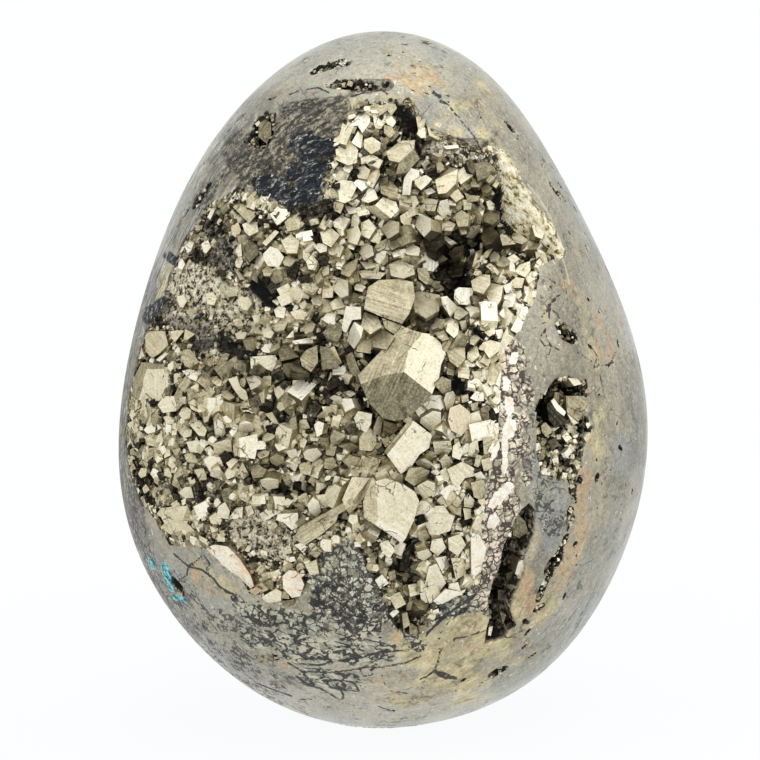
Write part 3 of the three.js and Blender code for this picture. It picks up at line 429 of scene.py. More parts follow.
    (0.66, 330, 303, 336, 298, 342, 300, 345, 307, 333, 310),
    (0.53, 389, 238, 398, 240, 400, 246, 392, 250, 388, 246),
    (0.4, 436, 253, 442, 254, 448, 259, 441, 262, 437, 258),
    (0.92, 465, 275, 470, 268, 472, 264, 474, 270, 470, 281),
    (0.13, 446, 270, 456, 262, 464, 266, 462, 276, 452, 278),
    (0.72, 494, 262, 502, 256, 508, 258, 510, 264, 504, 267, 498, 266),
    (0.6, 486, 266, 490, 263, 496, 267, 497, 275, 490, 270),
    (0.85, 480, 302, 488, 300, 496, 303, 494, 310, 482, 309), (0.4, 472, 295, 480, 296, 479, 306, 473, 304),
    (0.66, 514, 290, 520, 288, 524, 294, 520, 298, 515, 296),
    (0.6, 524, 286, 530, 286, 531, 293, 527, 296, 524, 292),
    (0.7, 512, 237, 520, 234, 528, 240, 522, 244, 514, 242), (0.6, 482, 256, 489, 248, 493, 248, 487, 258),
    (0.6, 460, 321, 466, 320, 467, 330, 463, 333), (0.5, 463, 336, 468, 329, 472, 331, 467, 343),
    (0.68, 470, 337, 476, 334, 480, 338, 474, 345, 470, 344),
    (0.62, 484, 326, 494, 324, 496, 333, 490, 336, 485, 333),
    (0.95, 495, 330, 502, 329, 505, 337, 498, 339), (0.4, 448, 362, 455, 366, 454, 376, 447, 374),
    (0.5, 461, 396, 468, 394, 469, 401, 462, 403), (0.58, 471, 404, 478, 402, 478, 409, 472, 411),
    (0.62, 235, 262, 241, 253, 243, 262, 240, 268, 236, 267),
    (0.97, 291, 284, 298, 276, 301, 280, 296, 288, 293, 287),
    (0.62, 301, 284, 311, 281, 319, 288, 313, 295, 303, 291),
    (0.72, 306, 262, 312, 254, 318, 262, 314, 268, 308, 268),
    (0.92, 311, 300, 315, 296, 321, 303, 317, 308, 313, 305),
    (0.62, 274, 326, 282, 319, 288, 322, 284, 330, 276, 331),
    (0.58, 303, 326, 311, 320, 316, 325, 312, 332, 305, 334),
    (0.6, 262, 270, 268, 266, 274, 270, 270, 276, 264, 276),
    (0.6, 282, 258, 290, 254, 296, 260, 290, 266, 284, 265), (0.5, 296, 250, 303, 248, 305, 256, 299, 260),
    (0.62, 240, 300, 248, 296, 252, 304, 246, 310, 240, 308), (0.6, 252, 316, 259, 314, 262, 321, 255, 324),
    (0.75, 440, 436, 452, 436, 452, 440, 441, 440),
    (0.62, 441, 461, 448, 455, 453, 462, 449, 468, 443, 469),
    (0.6, 440, 471, 446, 467, 450, 475, 448, 482, 441, 480), (0.75, 474, 474, 482, 472, 486, 478, 478, 481),
    (0.42, 424, 455, 432, 450, 437, 456, 430, 460), (0.55, 489, 470, 495, 468, 494, 476, 489, 478),
    (0.55, 463, 508, 471, 509, 472, 518, 465, 520), (0.58, 478, 500, 487, 498, 488, 506, 480, 508),
    (0.6, 474, 510, 483, 510, 485, 519, 476, 520), (0.65, 457, 520, 463, 522, 462, 531, 455, 529),
    (0.46, 418, 532, 426, 530, 430, 537, 424, 542, 419, 540), (1., 430, 534, 440, 534, 441, 539, 433, 540),
    (0.45, 403, 586, 408, 583, 411, 590, 407, 596, 403, 593),
    (0.84, 433, 601, 446, 590, 460, 592, 466, 590, 461, 601, 450, 607, 438, 605),
    (0.35, 379, 560, 386, 563, 385, 570, 379, 572), (0.45, 388, 572, 395, 570, 396, 578, 390, 581),
    (0.85, 178, 262, 182, 258, 185, 264, 182, 270, 178, 268),
    (0.72, 176, 296, 184, 295, 187, 301, 182, 307, 176, 305),
    (0.7, 206, 294, 213, 292, 217, 298, 214, 305, 207, 304),
    (0.7, 236, 300, 241, 296, 248, 299, 246, 306, 239, 306),
    (0.74, 235, 334, 241, 330, 247, 333, 244, 339, 237, 339),
    (0.65, 202, 414, 211, 413, 208, 421, 204, 423), (0.5, 172, 450, 180, 448, 182, 454, 175, 455),
    (0.5, 184, 455, 192, 452, 200, 457, 197, 463, 187, 462), (0.6, 204, 449, 210, 446, 213, 451, 208, 455),
    (0.7, 188, 478, 194, 476, 196, 483, 190, 485), (0.6, 140, 489, 146, 484, 150, 490, 144, 494),
    (0.72, 274, 388, 279, 386, 285, 392, 278, 399, 275, 395), (0.6, 265, 414, 272, 412, 279, 424, 276, 426),
    (0.62, 309, 434, 314, 431, 320, 436, 318, 441, 311, 441),
    (0.55, 262, 423, 268, 420, 271, 426, 265, 429),
    (0.68, 329, 398, 334, 395, 341, 397, 343, 404, 337, 405),
    (0.66, 337, 410, 343, 408, 344, 416, 338, 417),
    (0.64, 364, 312, 378, 317, 382, 327, 370, 333, 361, 326),
    (0.46, 382, 318, 401, 325, 395, 335, 385, 328),
    (0.58, 371, 335, 384, 329, 395, 337, 387, 348, 373, 347),
    (0.62, 388, 596, 400, 592, 406, 604, 396, 612), (0.7, 424, 590, 436, 584, 442, 596, 430, 606),
    (0.72, 408, 585, 418, 583, 420, 594, 410, 597),
    (0.34, 257, 133, 259, 123, 265, 119, 271, 123, 270, 131, 264, 137),
    (0.6, 184, 524, 190, 526, 196, 532, 186, 537, 180, 532),
    (0.85, 189, 536, 196, 538, 200, 546, 194, 547, 190, 542), (0.6, 284, 548, 290, 545, 292, 553, 286, 554),
]
# Faces that lie level with the polish, given in the same way
LEVEL_FACES = [
    (0.98, 203, 550, 212, 547, 225, 549, 238, 560, 250, 575, 254, 586, 246, 593, 235, 583, 220, 566),
    (0.76, 262, 597, 275, 590, 281, 593, 281, 601, 265, 604),
    (0.88, 282, 577, 288, 572, 297, 573, 304, 585, 300, 596, 292, 598, 283, 588),
]
VUG_FACES = [
    (0.12, 547, 404, 551, 402, 557, 411, 566, 418, 566, 424, 556, 428, 549, 420),
    (0.44, 566, 396, 584, 396, 588, 401, 586, 412, 579, 422, 567, 412),
    (1.00, 551, 401, 554, 398, 558, 404, 566, 412, 564, 416, 556, 410),
    (0.86, 567, 413, 579, 423, 573, 425),
    (0.50, 541, 426, 545, 422, 553, 430, 551, 433, 546, 437, 542, 432),
    (0.20, 548, 441, 556, 438, 560, 445, 552, 450), (1.00, 552, 459, 558, 457, 559, 463, 554, 465),
    (0.80, 562, 436, 567, 432, 572, 438, 566, 442), (0.70, 571, 463, 577, 460, 583, 463, 577, 467),
    (0.80, 568, 378, 577, 378, 582, 384, 574, 386), (0.34, 584, 388, 590, 386, 589, 394),
]
CLEFT_FACES = [
    (0.30, 513, 521, 520, 516, 526, 522, 528, 532, 519, 538, 513, 535),
    (1.00, 515, 574, 519, 560, 527, 560, 521, 576), (0.26, 506, 574, 513, 571, 513, 582, 507, 583),
    (0.90, 508, 530, 512, 528, 511, 537, 507, 536), (0.95, 489, 627, 493, 626, 492, 638, 489, 637),
    (0.22, 498, 590, 505, 590, 505, 600, 498, 600), (0.30, 500, 612, 506, 615, 503, 625),
]
# Where the crystals between them are coarse or fine: picture place, size beside the middling
GRAINS = [
    (160, 300, 0.55), (200, 320, 0.55), (240, 330, 1.1), (200, 250, 0.6), (220, 220, 0.8), (260, 200, 1.1),
    (180, 280, 0.45), (225, 300, 0.5), (210, 275, 0.6), (408, 112, 0.8), (440, 145, 0.9), (240, 525, 0.65),
    (280, 550, 0.8), (160, 488, 0.9), (210, 540, 0.8), (300, 215, 1.2), (290, 260, 2.1), (330, 250, 2.2),
    (350, 180, 2.4), (370, 120, 2.3), (420, 180, 2.0), (480, 200, 1.8), (510, 260, 2.2), (400, 230, 2.2),
    (310, 300, 2.0), (280, 330, 1.8), (330, 370, 1.6), (290, 400, 1.5), (230, 390, 2.0), (160, 420, 2.4),
    (200, 440, 2.4), (270, 450, 2.0), (340, 440, 1.9), (170, 480, 1.3), (240, 490, 1.2), (300, 490, 1.4),
    (262, 548, 0.65), (190, 530, 2.0), (330, 540, 1.1), (400, 560, 1.3), (450, 560, 2.3), (450, 480, 2.6),
    (480, 430, 2.3), (460, 330, 2.5), (500, 300, 2.0), (440, 600, 1.8), (490, 380, 1.3), (510, 340, 1.5),
    (400, 480, 2.0),
]

# Where they are brighter or darker than middling: picture place, how much
FAIRNESS = [
    (380, 130, 0.08), (440, 180, 0.26), (345, 180, 0.05), (400, 210, 0.24), (430, 225, 0.2),
    (408, 112, -0.3), (480, 210, 0.0), (450, 260, -0.2), (500, 270, 0.14), (470, 310, 0.16),
    (490, 350, 0.12), (460, 430, 0.2), (480, 470, 0.26), (450, 520, 0.28), (460, 570, 0.3),
    (400, 580, -0.05), (405, 620, -0.1), (390, 450, 0.06), (400, 500, 0.2), (320, 250, 0.12),
    (300, 300, 0.14), (270, 250, 0.05), (250, 310, 0.08), (220, 240, 0.0), (190, 290, 0.12),
    (200, 330, -0.1), (230, 350, -0.2), (150, 350, 0.05), (160, 430, 0.1), (200, 440, 0.1),
    (240, 440, 0.12), (290, 400, -0.12), (330, 380, -0.15), (300, 450, 0.08), (340, 450, 0.0),
    (240, 490, 0.0), (170, 490, -0.1), (180, 520, 0.12), (240, 515, 0.1), (300, 500, 0.02), (240, 535, 0.0),
    (265, 556, 0.0), (185, 275, 0.06), (340, 540, 0.1),
]

# Coloured zones: strokes from place to place, with their width and strength
ZONES = {
    "soot": [
        (308, 150, 306, 205, 24, 1.0), (262, 184, 330, 210, 15, 1.0), (328, 148, 322, 160, 14, 0.9),
        (300, 205, 328, 216, 12, 1.0), (258, 290, 276, 306, 12, 1.0), (198, 256, 232, 264, 10, 0.9),
        (216, 216, 228, 250, 9, 0.8), (150, 315, 166, 305, 11, 1.0), (176, 322, 222, 340, 9, 0.8),
        (305, 224, 322, 240, 8, 0.9), (166, 254, 178, 264, 6, 0.5), (262, 218, 290, 226, 8, 0.7),
        (346, 147, 347, 152, 5, 1.0), (168, 292, 174, 302, 5, 0.8), (222, 280, 228, 284, 5, 0.8),
        (182, 330, 206, 332, 8, 0.9),
    ],
    # deep places: fewer crystals grow there, and the shade in them is painted on crystals, bed and openings
    "deep": [
        (258, 286, 274, 300, 13, 1.0), (262, 120, 258, 142, 14, 0.9), (198, 204, 206, 184, 8, 1.0),
        (173, 579, 182, 595, 8, 1.0), (436, 242, 470, 248, 17, 0.9), (446, 262, 460, 284, 19, 1.0),
        (498, 198, 513, 228, 13, 1.0), (182, 282, 244, 306, 30, 0.1), (212, 222, 226, 262, 18, 0.6),
        (150, 318, 210, 326, 12, 0.5), (288, 378, 340, 392, 12, 0.7), (350, 385, 372, 420, 8, 0.9),
        (400, 108, 414, 128, 12, 0.9), (455, 382, 466, 394, 10, 1.0), (226, 346, 250, 356, 14, 0.8),
        (208, 344, 196, 346, 10, 0.7), (386, 160, 398, 180, 5, 0.9), (416, 140, 420, 156, 4, 0.9),
        (478, 236, 490, 246, 8, 0.9), (544, 398, 546, 428, 9, 1.0), (552, 384, 562, 392, 7, 0.9),
        (528, 506, 524, 545, 12, 1.0), (514, 545, 505, 590, 16, 1.0), (503, 590, 496, 640, 14, 1.0),
        (404, 610, 410, 636, 7, 0.8), (372, 430, 398, 470, 5, 0.8), (402, 472, 414, 466, 4, 0.9),
        (440, 384, 432, 400, 4, 0.9), (130, 445, 150, 500, 8, 0.7), (272, 400, 284, 430, 7, 0.6),
        (330, 512, 344, 520, 6, 0.8), (545, 242, 558, 258, 8, 0.8), (500, 306, 510, 310, 6, 0.8),
        (198, 496, 225, 498, 6, 0.6), (422, 600, 446, 606, 8, 0.6), (404, 548, 412, 600, 12, 0.5),
        (320, 336, 332, 340, 6, 0.9), (232, 540, 266, 552, 20, 0.35), (150, 486, 190, 492, 10, 0.4),
        (250, 484, 300, 488, 10, 0.4), (224, 524, 246, 520, 14, 0.3), (282, 432, 268, 404, 6, 0.5),
    ],
    "etched": [
        (290, 112, 340, 106, 14, 0.9), (246, 150, 310, 130, 30, 1.0), (250, 172, 300, 150, 24, 1.0),
        (330, 110, 344, 130, 14, 0.8), (310, 126, 336, 140, 20, 0.9), (262, 140, 330, 170, 20, 0.8),
        (202, 200, 250, 160, 14, 0.5), (288, 146, 298, 190, 16, 1.0), (430, 148, 480, 146, 12, 0.7),
        (352, 84, 388, 84, 8, 0.7),
    ],
    "streaked": [
        (224, 120, 160, 240, 26, 0.8), (250, 120, 200, 180, 24, 0.8), (180, 240, 146, 300, 18, 0.8),
        (146, 300, 130, 400, 12, 0.6), (124, 470, 140, 560, 12, 0.9), (140, 560, 180, 620, 14, 0.8),
        (240, 160, 190, 220, 24, 0.8), (122, 390, 122, 480, 12, 0.8), (600, 600, 570, 640, 20, 0.4),
        (620, 330, 635, 420, 14, 0.3),
    ],
    "rock": [
        (186, 282, 262, 318, 30, 1.0), (168, 312, 200, 330, 14, 0.9), (240, 248, 254, 262, 14, 0.9),
        (198, 346, 236, 352, 11, 0.8), (244, 528, 278, 548, 24, 1.0), (150, 488, 226, 494, 11, 0.7),
        (272, 402, 284, 428, 9, 0.6), (206, 232, 222, 262, 14, 0.5), (300, 486, 250, 488, 10, 0.5),
    ],
    "matrix": [(426, 138, 480, 160, 15, 1.0), (408, 104, 416, 116, 8, 0.8)],
    "tan": [
        (452, 92, 492, 132, 20, 0.5), (412, 84, 470, 96, 12, 0.6), (166, 268, 160, 300, 8, 1.0),
        (420, 650, 500, 636, 26, 1.0), (430, 680, 500, 656, 20, 0.8), (410, 644, 540, 604, 26, 0.8),
        (400, 692, 480, 690, 22, 0.8), (536, 606, 584, 520, 18, 0.6), (590, 480, 600, 420, 12, 0.4),
        (474, 64, 520, 112, 20, 0.5), (400, 64, 450, 92, 20, 0.5), (586, 330, 604, 400, 14, 0.4),
        (560, 280, 590, 320, 14, 0.4), (420, 130, 470, 132, 8, 0.5), (200, 570, 230, 590, 12, 0.5),
        (267, 611, 280, 617, 6, 1.0),
    ],
    "speckled": [
        (330, 540, 350, 600, 34, 1.0), (318, 560, 330, 600, 20, 1.0), (360, 556, 386, 612, 16, 1.0),
        (326, 532, 356, 524, 10, 0.9), (384, 590, 402, 622, 14, 1.0), (426, 618, 482, 598, 12, 1.0),
        (480, 588, 492, 606, 14, 1.0), (372, 535, 384, 552, 12, 0.9),
    ],
    "warm": [
        (398, 72, 428, 82, 20, 0.9), (568, 284, 582, 300, 9, 0.9), (596, 322, 610, 356, 11, 1.0),
        (572, 552, 560, 586, 12, 1.3), (526, 574, 532, 608, 10, 1.2), (586, 474, 580, 536, 8, 1.2),
        (552, 622, 530, 644, 8, 0.8), (196, 576, 216, 592, 10, 0.8), (404, 94, 432, 108, 8, 0.6),
        (588, 436, 590, 442, 6, 0.8), (580, 520, 572, 548, 5, 0.5), (444, 118, 456, 128, 14, 0.4),
        (480, 110, 498, 130, 14, 0.4), (270, 660, 300, 690, 16, 0.4), (400, 650, 440, 640, 24, 0.4),
        (466, 640, 520, 620, 16, 0.5), (380, 690, 440, 700, 24, 0.4), (308, 662, 320, 650, 10, 0.4),
        (310, 98, 316, 104, 10, 0.5), (546, 610, 552, 596, 6, 0.4),
    ],
    "bluish": [
        (424, 92, 446, 102, 12, 0.9), (446, 104, 468, 124, 8, 0.8), (548, 480, 556, 540, 22, 1.0),
        (530, 290, 556, 352, 26, 0.3), (530, 380, 532, 480, 10, 0.9), (200, 240, 250, 130, 16, 0.5),
        (184, 640, 260, 680, 16, 0.6), (150, 540, 190, 600, 14, 0.4), (622, 440, 622, 470, 12, 0.7),
        (545, 640, 580, 610, 14, 0.6), (160, 250, 140, 340, 10, 0.5), (470, 130, 478, 110, 8, 0.5),
        (440, 90, 452, 104, 10, 0.6), (390, 646, 376, 660, 16, 0.4), (196, 610, 220, 600, 12, 0.6),
        (400, 45, 470, 60, 14, 0.3), (556, 210, 560, 216, 10, 0.4),
    ],
    "crackle": [
        (512, 505, 500, 560, 12, 1.0), (500, 560, 488, 610, 10, 1.0), (512, 352, 514, 410, 16, 1.0),
        (507, 410, 504, 470, 19, 1.0), (504, 476, 500, 500, 17, 1.0), (497, 500, 490, 545, 15, 1.0),
        (534, 362, 530, 400, 8, 0.5), (489, 545, 484, 600, 10, 0.9), (522, 400, 528, 480, 9, 0.6),
        (520, 350, 524, 400, 9, 0.6), (504, 500, 500, 540, 9, 0.7),
    ],
    "net": [
        (330, 600, 352, 624, 24, 1.0), (250, 614, 300, 622, 13, 1.0), (300, 626, 372, 628, 14, 0.9),
        (380, 600, 396, 600, 14, 0.9), (400, 626, 420, 648, 8, 0.7), (236, 600, 246, 618, 8, 0.8),
    ],
    "flat_net": [
        (290, 650, 384, 652, 16, 1.0), (310, 676, 352, 686, 12, 1.0), (250, 640, 300, 640, 14, 0.8),
    ],
    "fine_net": [
        (232, 640, 262, 690, 30, 1.0), (170, 590, 230, 670, 24, 1.0), (130, 520, 160, 600, 14, 0.8),
        (544, 484, 556, 530, 18, 0.8), (128, 480, 150, 560, 10, 0.8), (216, 622, 240, 632, 14, 1.0),
        (528, 380, 530, 470, 8, 0.7), (280, 700, 320, 710, 12, 0.3), (206, 600, 230, 640, 12, 0.6),
    ],
    "gold": [
        (488, 153, 499, 158, 9, 1.0), (499, 160, 513, 188, 14, 1.0), (513, 188, 530, 214, 15, 1.0),
        (530, 214, 547, 231, 13, 1.0), (547, 231, 560, 252, 8, 1.0),
    ],
    "blush": [
        (216, 554, 246, 588, 13, 1.1), (282, 576, 300, 592, 11, 1.0), (440, 182, 458, 172, 10, 0.35),
        (234, 226, 236, 236, 7, 0.7), (480, 540, 478, 572, 5, 0.5), (455, 415, 462, 426, 8, 0.4),
        (150, 350, 165, 345, 10, 0.2),
    ],
    "blue_green": [
        (164, 567, 167, 578, 5, 1.1), (168, 582, 171, 590, 3, 1.0), (173, 597, 184, 601, 3, 1.1),
        (149, 560, 153, 568, 3, 1.0),
    ],
    # pale patches; towards the top and bottom of the egg they are painted reflection of the bright
    # surroundings
    "pale": [
        (280, 64, 470, 66, 34, 0.9), (350, 44, 410, 44, 16, 0.9), (470, 80, 520, 130, 22, 0.2),
        (560, 180, 600, 300, 20, 0.2), (240, 700, 480, 706, 26, 0.9), (300, 660, 460, 650, 24, 0.6),
        (480, 640, 560, 610, 20, 0.5), (250, 590, 260, 600, 20, 0.4), (210, 600, 260, 640, 20, 0.4),
    ],
    "dusky": [
        (600, 380, 612, 480, 16, 0.22), (460, 80, 506, 128, 20, 0.22), (152, 280, 126, 390, 16, 0.9),
        (122, 390, 122, 480, 14, 1.0), (126, 480, 140, 540, 15, 1.0), (180, 240, 220, 160, 14, 0.5),
        (150, 560, 190, 640, 16, 0.5), (634, 360, 640, 460, 10, 0.35), (470, 150, 440, 146, 8, 0.5),
    ],
}
# Dark veins drawn through the polish: width, and the places in the picture that they run through
VEINS = [
    (2.0, 173, 554, 188, 567, 186, 576, 181, 579), (2.0, 188, 567, 197, 560, 203, 555, 209, 564, 205, 571),
    (2.4, 188, 567, 201, 570, 212, 578, 219, 587, 226, 592, 234, 595, 236, 602),
    (2.0, 296, 664, 318, 666, 340, 661, 362, 658, 376, 654, 389, 652, 409, 651),
    (1.8, 333, 642, 351, 647, 364, 652, 376, 656, 379, 652, 396, 648, 380, 643, 362, 639, 351, 636),
    (2.0, 287, 663, 302, 672, 329, 673, 351, 671, 364, 668, 380, 668, 393, 666, 407, 663, 420, 657),
    (1.8, 364, 668, 371, 662, 377, 665, 371, 671, 374, 675, 364, 677, 360, 670),
    (2.2, 296, 677, 309, 686, 322, 690, 329, 694, 340, 701, 344, 697, 340, 690, 331, 688, 324, 681),
    (2.0, 324, 681, 340, 681, 353, 683, 360, 692, 347, 691, 336, 686, 340, 681),
    (2.0, 434, 672, 438, 663, 440, 652, 444, 647), (1.4, 453, 643, 456, 639, 469, 637, 480, 632),
    (2.0, 420, 680, 427, 677, 434, 672), (1.5, 427, 677, 422, 686, 422, 692, 413, 697, 409, 703),
    (3.2, 434, 672, 444, 674), (2.6, 444, 674, 456, 679), (1.6, 384, 683, 391, 692, 407, 694),
    (2.6, 480, 592, 469, 601, 451, 612), (2.2, 451, 612, 436, 626, 427, 634),
    (1.8, 462, 612, 450, 622, 440, 634), (1.8, 470, 602, 466, 612, 454, 616, 440, 618, 430, 622),
    (2.4, 488, 600, 478, 608, 470, 606, 460, 612), (2.6, 480, 586, 467, 588, 456, 594, 450, 603),
    (1.4, 400, 628, 404, 637, 418, 639, 420, 630),
    (2.0, 433, 89, 440, 98, 449, 105, 462, 121, 473, 134, 481, 147, 480, 154),
    (1.6, 410, 89, 422, 92, 436, 94, 448, 94), (1.6, 429, 107, 436, 102, 447, 103, 440, 98),
    (1.2, 441, 90, 449, 97, 453, 92), (1.8, 289, 94, 300, 89, 318, 87, 329, 92),
    (2.2, 351, 96, 364, 92, 382, 89, 387, 93), (1.4, 390, 100, 404, 110, 418, 116),
    (1.6, 549, 278, 556, 283, 550, 286, 553, 290), (1.8, 562, 293, 554, 299, 549, 308, 550, 318),
    (1.2, 546, 322, 534, 328), (1.4, 546, 328, 547, 338, 552, 346, 550, 354, 540, 356),
    (1.2, 594, 368, 608, 366, 618, 360), (1.2, 592, 346, 598, 356, 594, 368), (1.0, 550, 344, 556, 352),
    (1.2, 200, 604, 204, 612, 212, 618), (1.6, 150, 558, 156, 566), (1.4, 257, 684, 272, 690, 292, 697),
    (1.4, 300, 700, 312, 700), (1.4, 378, 707, 392, 712), (1.0, 230, 650, 240, 658, 244, 668),
    (1.0, 560, 262, 566, 286, 568, 300), (1.2, 600, 372, 604, 392), (1.0, 500, 640, 520, 636),
    (4.5, 127, 442, 130, 462, 136, 485, 142, 505), (4.0, 438, 675, 446, 678), (2.4, 446, 678, 457, 680),
    (4.5, 424, 612, 446, 609), (1.8, 426, 637, 434, 627, 447, 614, 460, 607, 471, 597, 480, 593),
    (1.1, 491, 629, 473, 636, 454, 639, 454, 647), (1.6, 462, 594, 476, 600, 488, 596),
    (1.1, 541, 217, 547, 211, 553, 206), (1.6, 556, 300, 549, 304, 546, 312, 541, 318),
    (1.3, 549, 308, 556, 312, 560, 318), (1.4, 545, 330, 540, 338, 545, 346, 552, 345, 560, 350),
    (1.3, 578, 352, 590, 360, 604, 366, 612, 362, 616, 352),
]
PALE_LINES = [
    (1.7, 528, 183, 538, 195, 547, 209, 553, 220, 558, 232, 561, 245, 563, 258, 567, 270, 570, 284),
    (1.2, 524, 190, 544, 206, 556, 228, 562, 242),
]
# Pale flakes lying level with the polish: their corners in the picture
FLAKES = [
    (488, 507, 495, 495, 508, 482, 514, 485, 511, 492, 499, 505, 492, 510),
    (488, 528, 489, 518, 496, 512, 500, 522, 495, 530), (503, 430, 507, 430, 508, 452, 506, 474, 502, 474),
    (506, 396, 513, 398, 515, 408, 509, 416, 505, 408), (508, 418, 516, 420, 514, 436, 506, 440, 502, 430),
    (512, 352, 519, 354, 516, 364, 510, 362), (504, 378, 511, 380, 508, 392, 503, 390),
    (472, 534, 481, 537, 486, 548, 485, 560, 478, 580, 473, 586, 471, 572),
]
# Smaller pits, given in the same way
SMALL_PITS = [
    (402, 36, 0.9, 0.35, 0.3, 0), (404, 43, 0.5, 0.3, 0.3, 0), (427, 42, 1.0, 0.35, 0.3, 0),
    (389, 54, 0.5, 0.3, 0.3, 0), (442, 66, 0.5, 0.3, 0.3, 60), (272, 97, 1.0, 0.5, 0.5, 30),
    (562, 194, 1.4, 0.45, 0.5, 120), (576, 209, 0.6, 0.35, 0.4, 120), (587, 247, 0.8, 0.6, 0.5, 100),
    (608, 270, 1.2, 0.3, 0.4, 120), (589, 299, 0.9, 0.5, 0.4, 120), (600, 311, 0.4, 0.3, 0.3, 0),
    (591, 346, 0.8, 0.45, 0.4, 140), (619, 344, 0.9, 0.5, 0.4, 60), (610, 366, 0.6, 0.4, 0.3, 30),
    (595, 411, 0.9, 0.4, 0.4, 60), (627, 379, 0.4, 0.3, 0.3, 0), (621, 448, 0.9, 0.4, 0.4, 150),
    (598, 478, 1.1, 0.8, 0.6, 60), (633, 492, 0.8, 0.5, 0.4, 90), (576, 545, 0.7, 0.6, 0.5, 0),
    (577, 566, 0.35, 0.3, 0.3, 0), (577, 556, 0.3, 0.3, 0.3, 0), (569, 585, 0.5, 0.3, 0.3, 40),
    (565, 597, 1.0, 0.4, 0.4, 95), (541, 608, 1.3, 1.0, 0.8, 20), (526, 623, 0.9, 0.5, 0.5, 150),
    (528, 633, 1.1, 0.5, 0.5, 60), (525, 648, 1.0, 0.7, 0.6, 45), (533, 656, 1.5, 0.4, 0.5, 35),
    (482, 684, 0.6, 0.4, 0.3, 30), (203, 627, 0.35, 0.3, 0.3, 0), (464, 681, 0.8, 0.6, 0.5, 60),
    (456, 692, 0.6, 0.35, 0.3, 110), (573, 478, 1.7, 1.2, 0.9, 95), (575, 497, 1.5, 1.0, 0.9, 100),
    (573, 521, 1.2, 0.9, 0.8, 80), (562, 549, 1.8, 0.8, 0.9, 62), (546, 584, 1.6, 1.0, 0.9, 80),
    (581, 480, 1.0, 0.8, 0.9, 120), (570, 528, 1.3, 0.6, 0.9, 80), (551, 576, 1.6, 0.9, 1.1, 60),
    (541, 598, 1.5, 1.0, 0.9, 85), (339, 82, 1.8, 0.9, 0.7, 10), (386, 83, 1.0, 0.6, 0.5, 60),
    (340, 60, 1.6, 0.9, 0.7, 20), (317, 70, 1.4, 0.8, 0.6, 40), (186, 212, 1.6, 0.5, 0.5, 62),
    (179, 222, 1.4, 0.5, 0.5, 62), (240, 117, 1.6, 0.3, 0.4, 55), (228, 130, 1.4, 0.3, 0.4, 55),
    (205, 161, 1.0, 0.3, 0.3, 55), (152, 563, 0.8, 0.5, 0.5, 120), (600, 395, 0.3, 0.25, 0.2, 0),
    (612, 410, 0.3, 0.25, 0.2, 0), (618, 424, 0.35, 0.25, 0.2, 60), (606, 436, 0.3, 0.25, 0.2, 0),
    (629, 400, 0.35, 0.25, 0.2, 90), (598, 460, 0.4, 0.3, 0.3, 0), (611, 470, 0.3, 0.25, 0.2, 0),
    (606, 497, 0.4, 0.3, 0.3, 60), (622, 520, 0.4, 0.25, 0.2, 90), (598, 508, 0.3, 0.25, 0.2, 0),
    (585, 232, 0.3, 0.25, 0.2, 0), (570, 232, 0.35, 0.25, 0.2, 120), (564, 170, 0.5, 0.25, 0.3, 120),
    (544, 160, 0.5, 0.3, 0.3, 120), (560, 184, 1.0, 0.3, 0.4, 115), (546, 168, 0.4, 0.3, 0.3, 100),
    (392, 712, 0.5, 0.25, 0.3, 20), (368, 706, 0.6, 0.2, 0.2, 0), (352, 706, 0.6, 0.2, 0.2, 170),
    (324, 701, 0.6, 0.25, 0.3, 10), (404, 719, 0.5, 0.2, 0.2, 0), (495, 90, 0.4, 0.3, 0.3, 40),
    (518, 138, 0.5, 0.3, 0.3, 110), (420, 60, 0.3, 0.25, 0.2, 0), (360, 50, 0.9, 0.25, 0.3, 15),
]


# How the shapes are worked out, in millimetres unless said otherwise
CRUST_DEPTH = 2.0         # the crust's thickness where the hollow is deep
SHALLOW_BED = 0.45        # how deep it starts where the hollow is shallow, as a share of the depth
MARK_SOFTNESS = 0.4       # keeps a marked place from counting without limit
HALVINGS = 22             # steps that find the egg's surface
SIGHT_HALVINGS = 18       # and those that find it along a line of sight
SIGHT_STEP = 0.5          # after a march along it in strides this long
FAR_OFF = 9.0             # stands for any greater distance from a drawn line, in its half widths
FRONT_FADE = (-2.0, 8.0)  # the marks and openings of the front fade out between these, along Y
FINE_FRONT = -6.0         # the egg's mesh is finer in front of this, along Y
UNDER_CRUST = 2.5         # but not where it lies this far in under the crust
EDGE_BAND = 0.45          # and it is finest this near to an edge


# Lines and outlines are written as rows of numbers, two for each place in the picture
def drawn(numbers):
    return np.reshape(numbers, (-1, 2)).astype(float)


def outline_of(face):
    return drawn(face[3:])


def smoothstep(value, low, high):
    share = np.clip((value - low) / (high - low), 0, 1)
    return share * share * (3 - 2 * share)


def unit(rows):
    return rows / np.maximum(np.linalg.norm(rows, axis=-1, keepdims=True), 1e-9)


# Girth and sway of the egg's rings at some heights
def ring_at(z):
    along = np.clip(1 - 2 * (z + GROUND_OFF) / (HEIGHT + GROUND_OFF), -1, 1)
    angle = np.arccos(along)
    full = sum(term * along ** power for power, term in enumerate(FULLNESS))
    x = sum(term * np.cos(wave * angle) for wave, term in enumerate(SWAY))
    return BREADTH / 2 * np.sin(angle) * full, x


def inside_egg(points):
    radius, x = ring_at(points[..., 2])
    across = np.hypot(points[..., 0] - x, points[..., 1] / FLATTENING)
    return (across < radius) & (points[..., 2] > 0) & (points[..., 2] < HEIGHT)


# Distance from the heart to the ideal egg along unit directions
def reach(directions):
    near = np.zeros(directions.shape[:-1])
    far = np.full(directions.shape[:-1], HEIGHT)
    for _ in range(HALVINGS):
        middle = (near + far) / 2
        within = inside_egg(HEART + directions * middle[..., None])
        near = np.where(within, middle, near)
        far = np.where(within, far, middle)
    return near


# Points kept within the solids' own limits
def in_box(points):
    low, high = np.array(cad_box) / MM
    return np.clip(points, low + (0.01, 0.01, 0), high - 0.01)


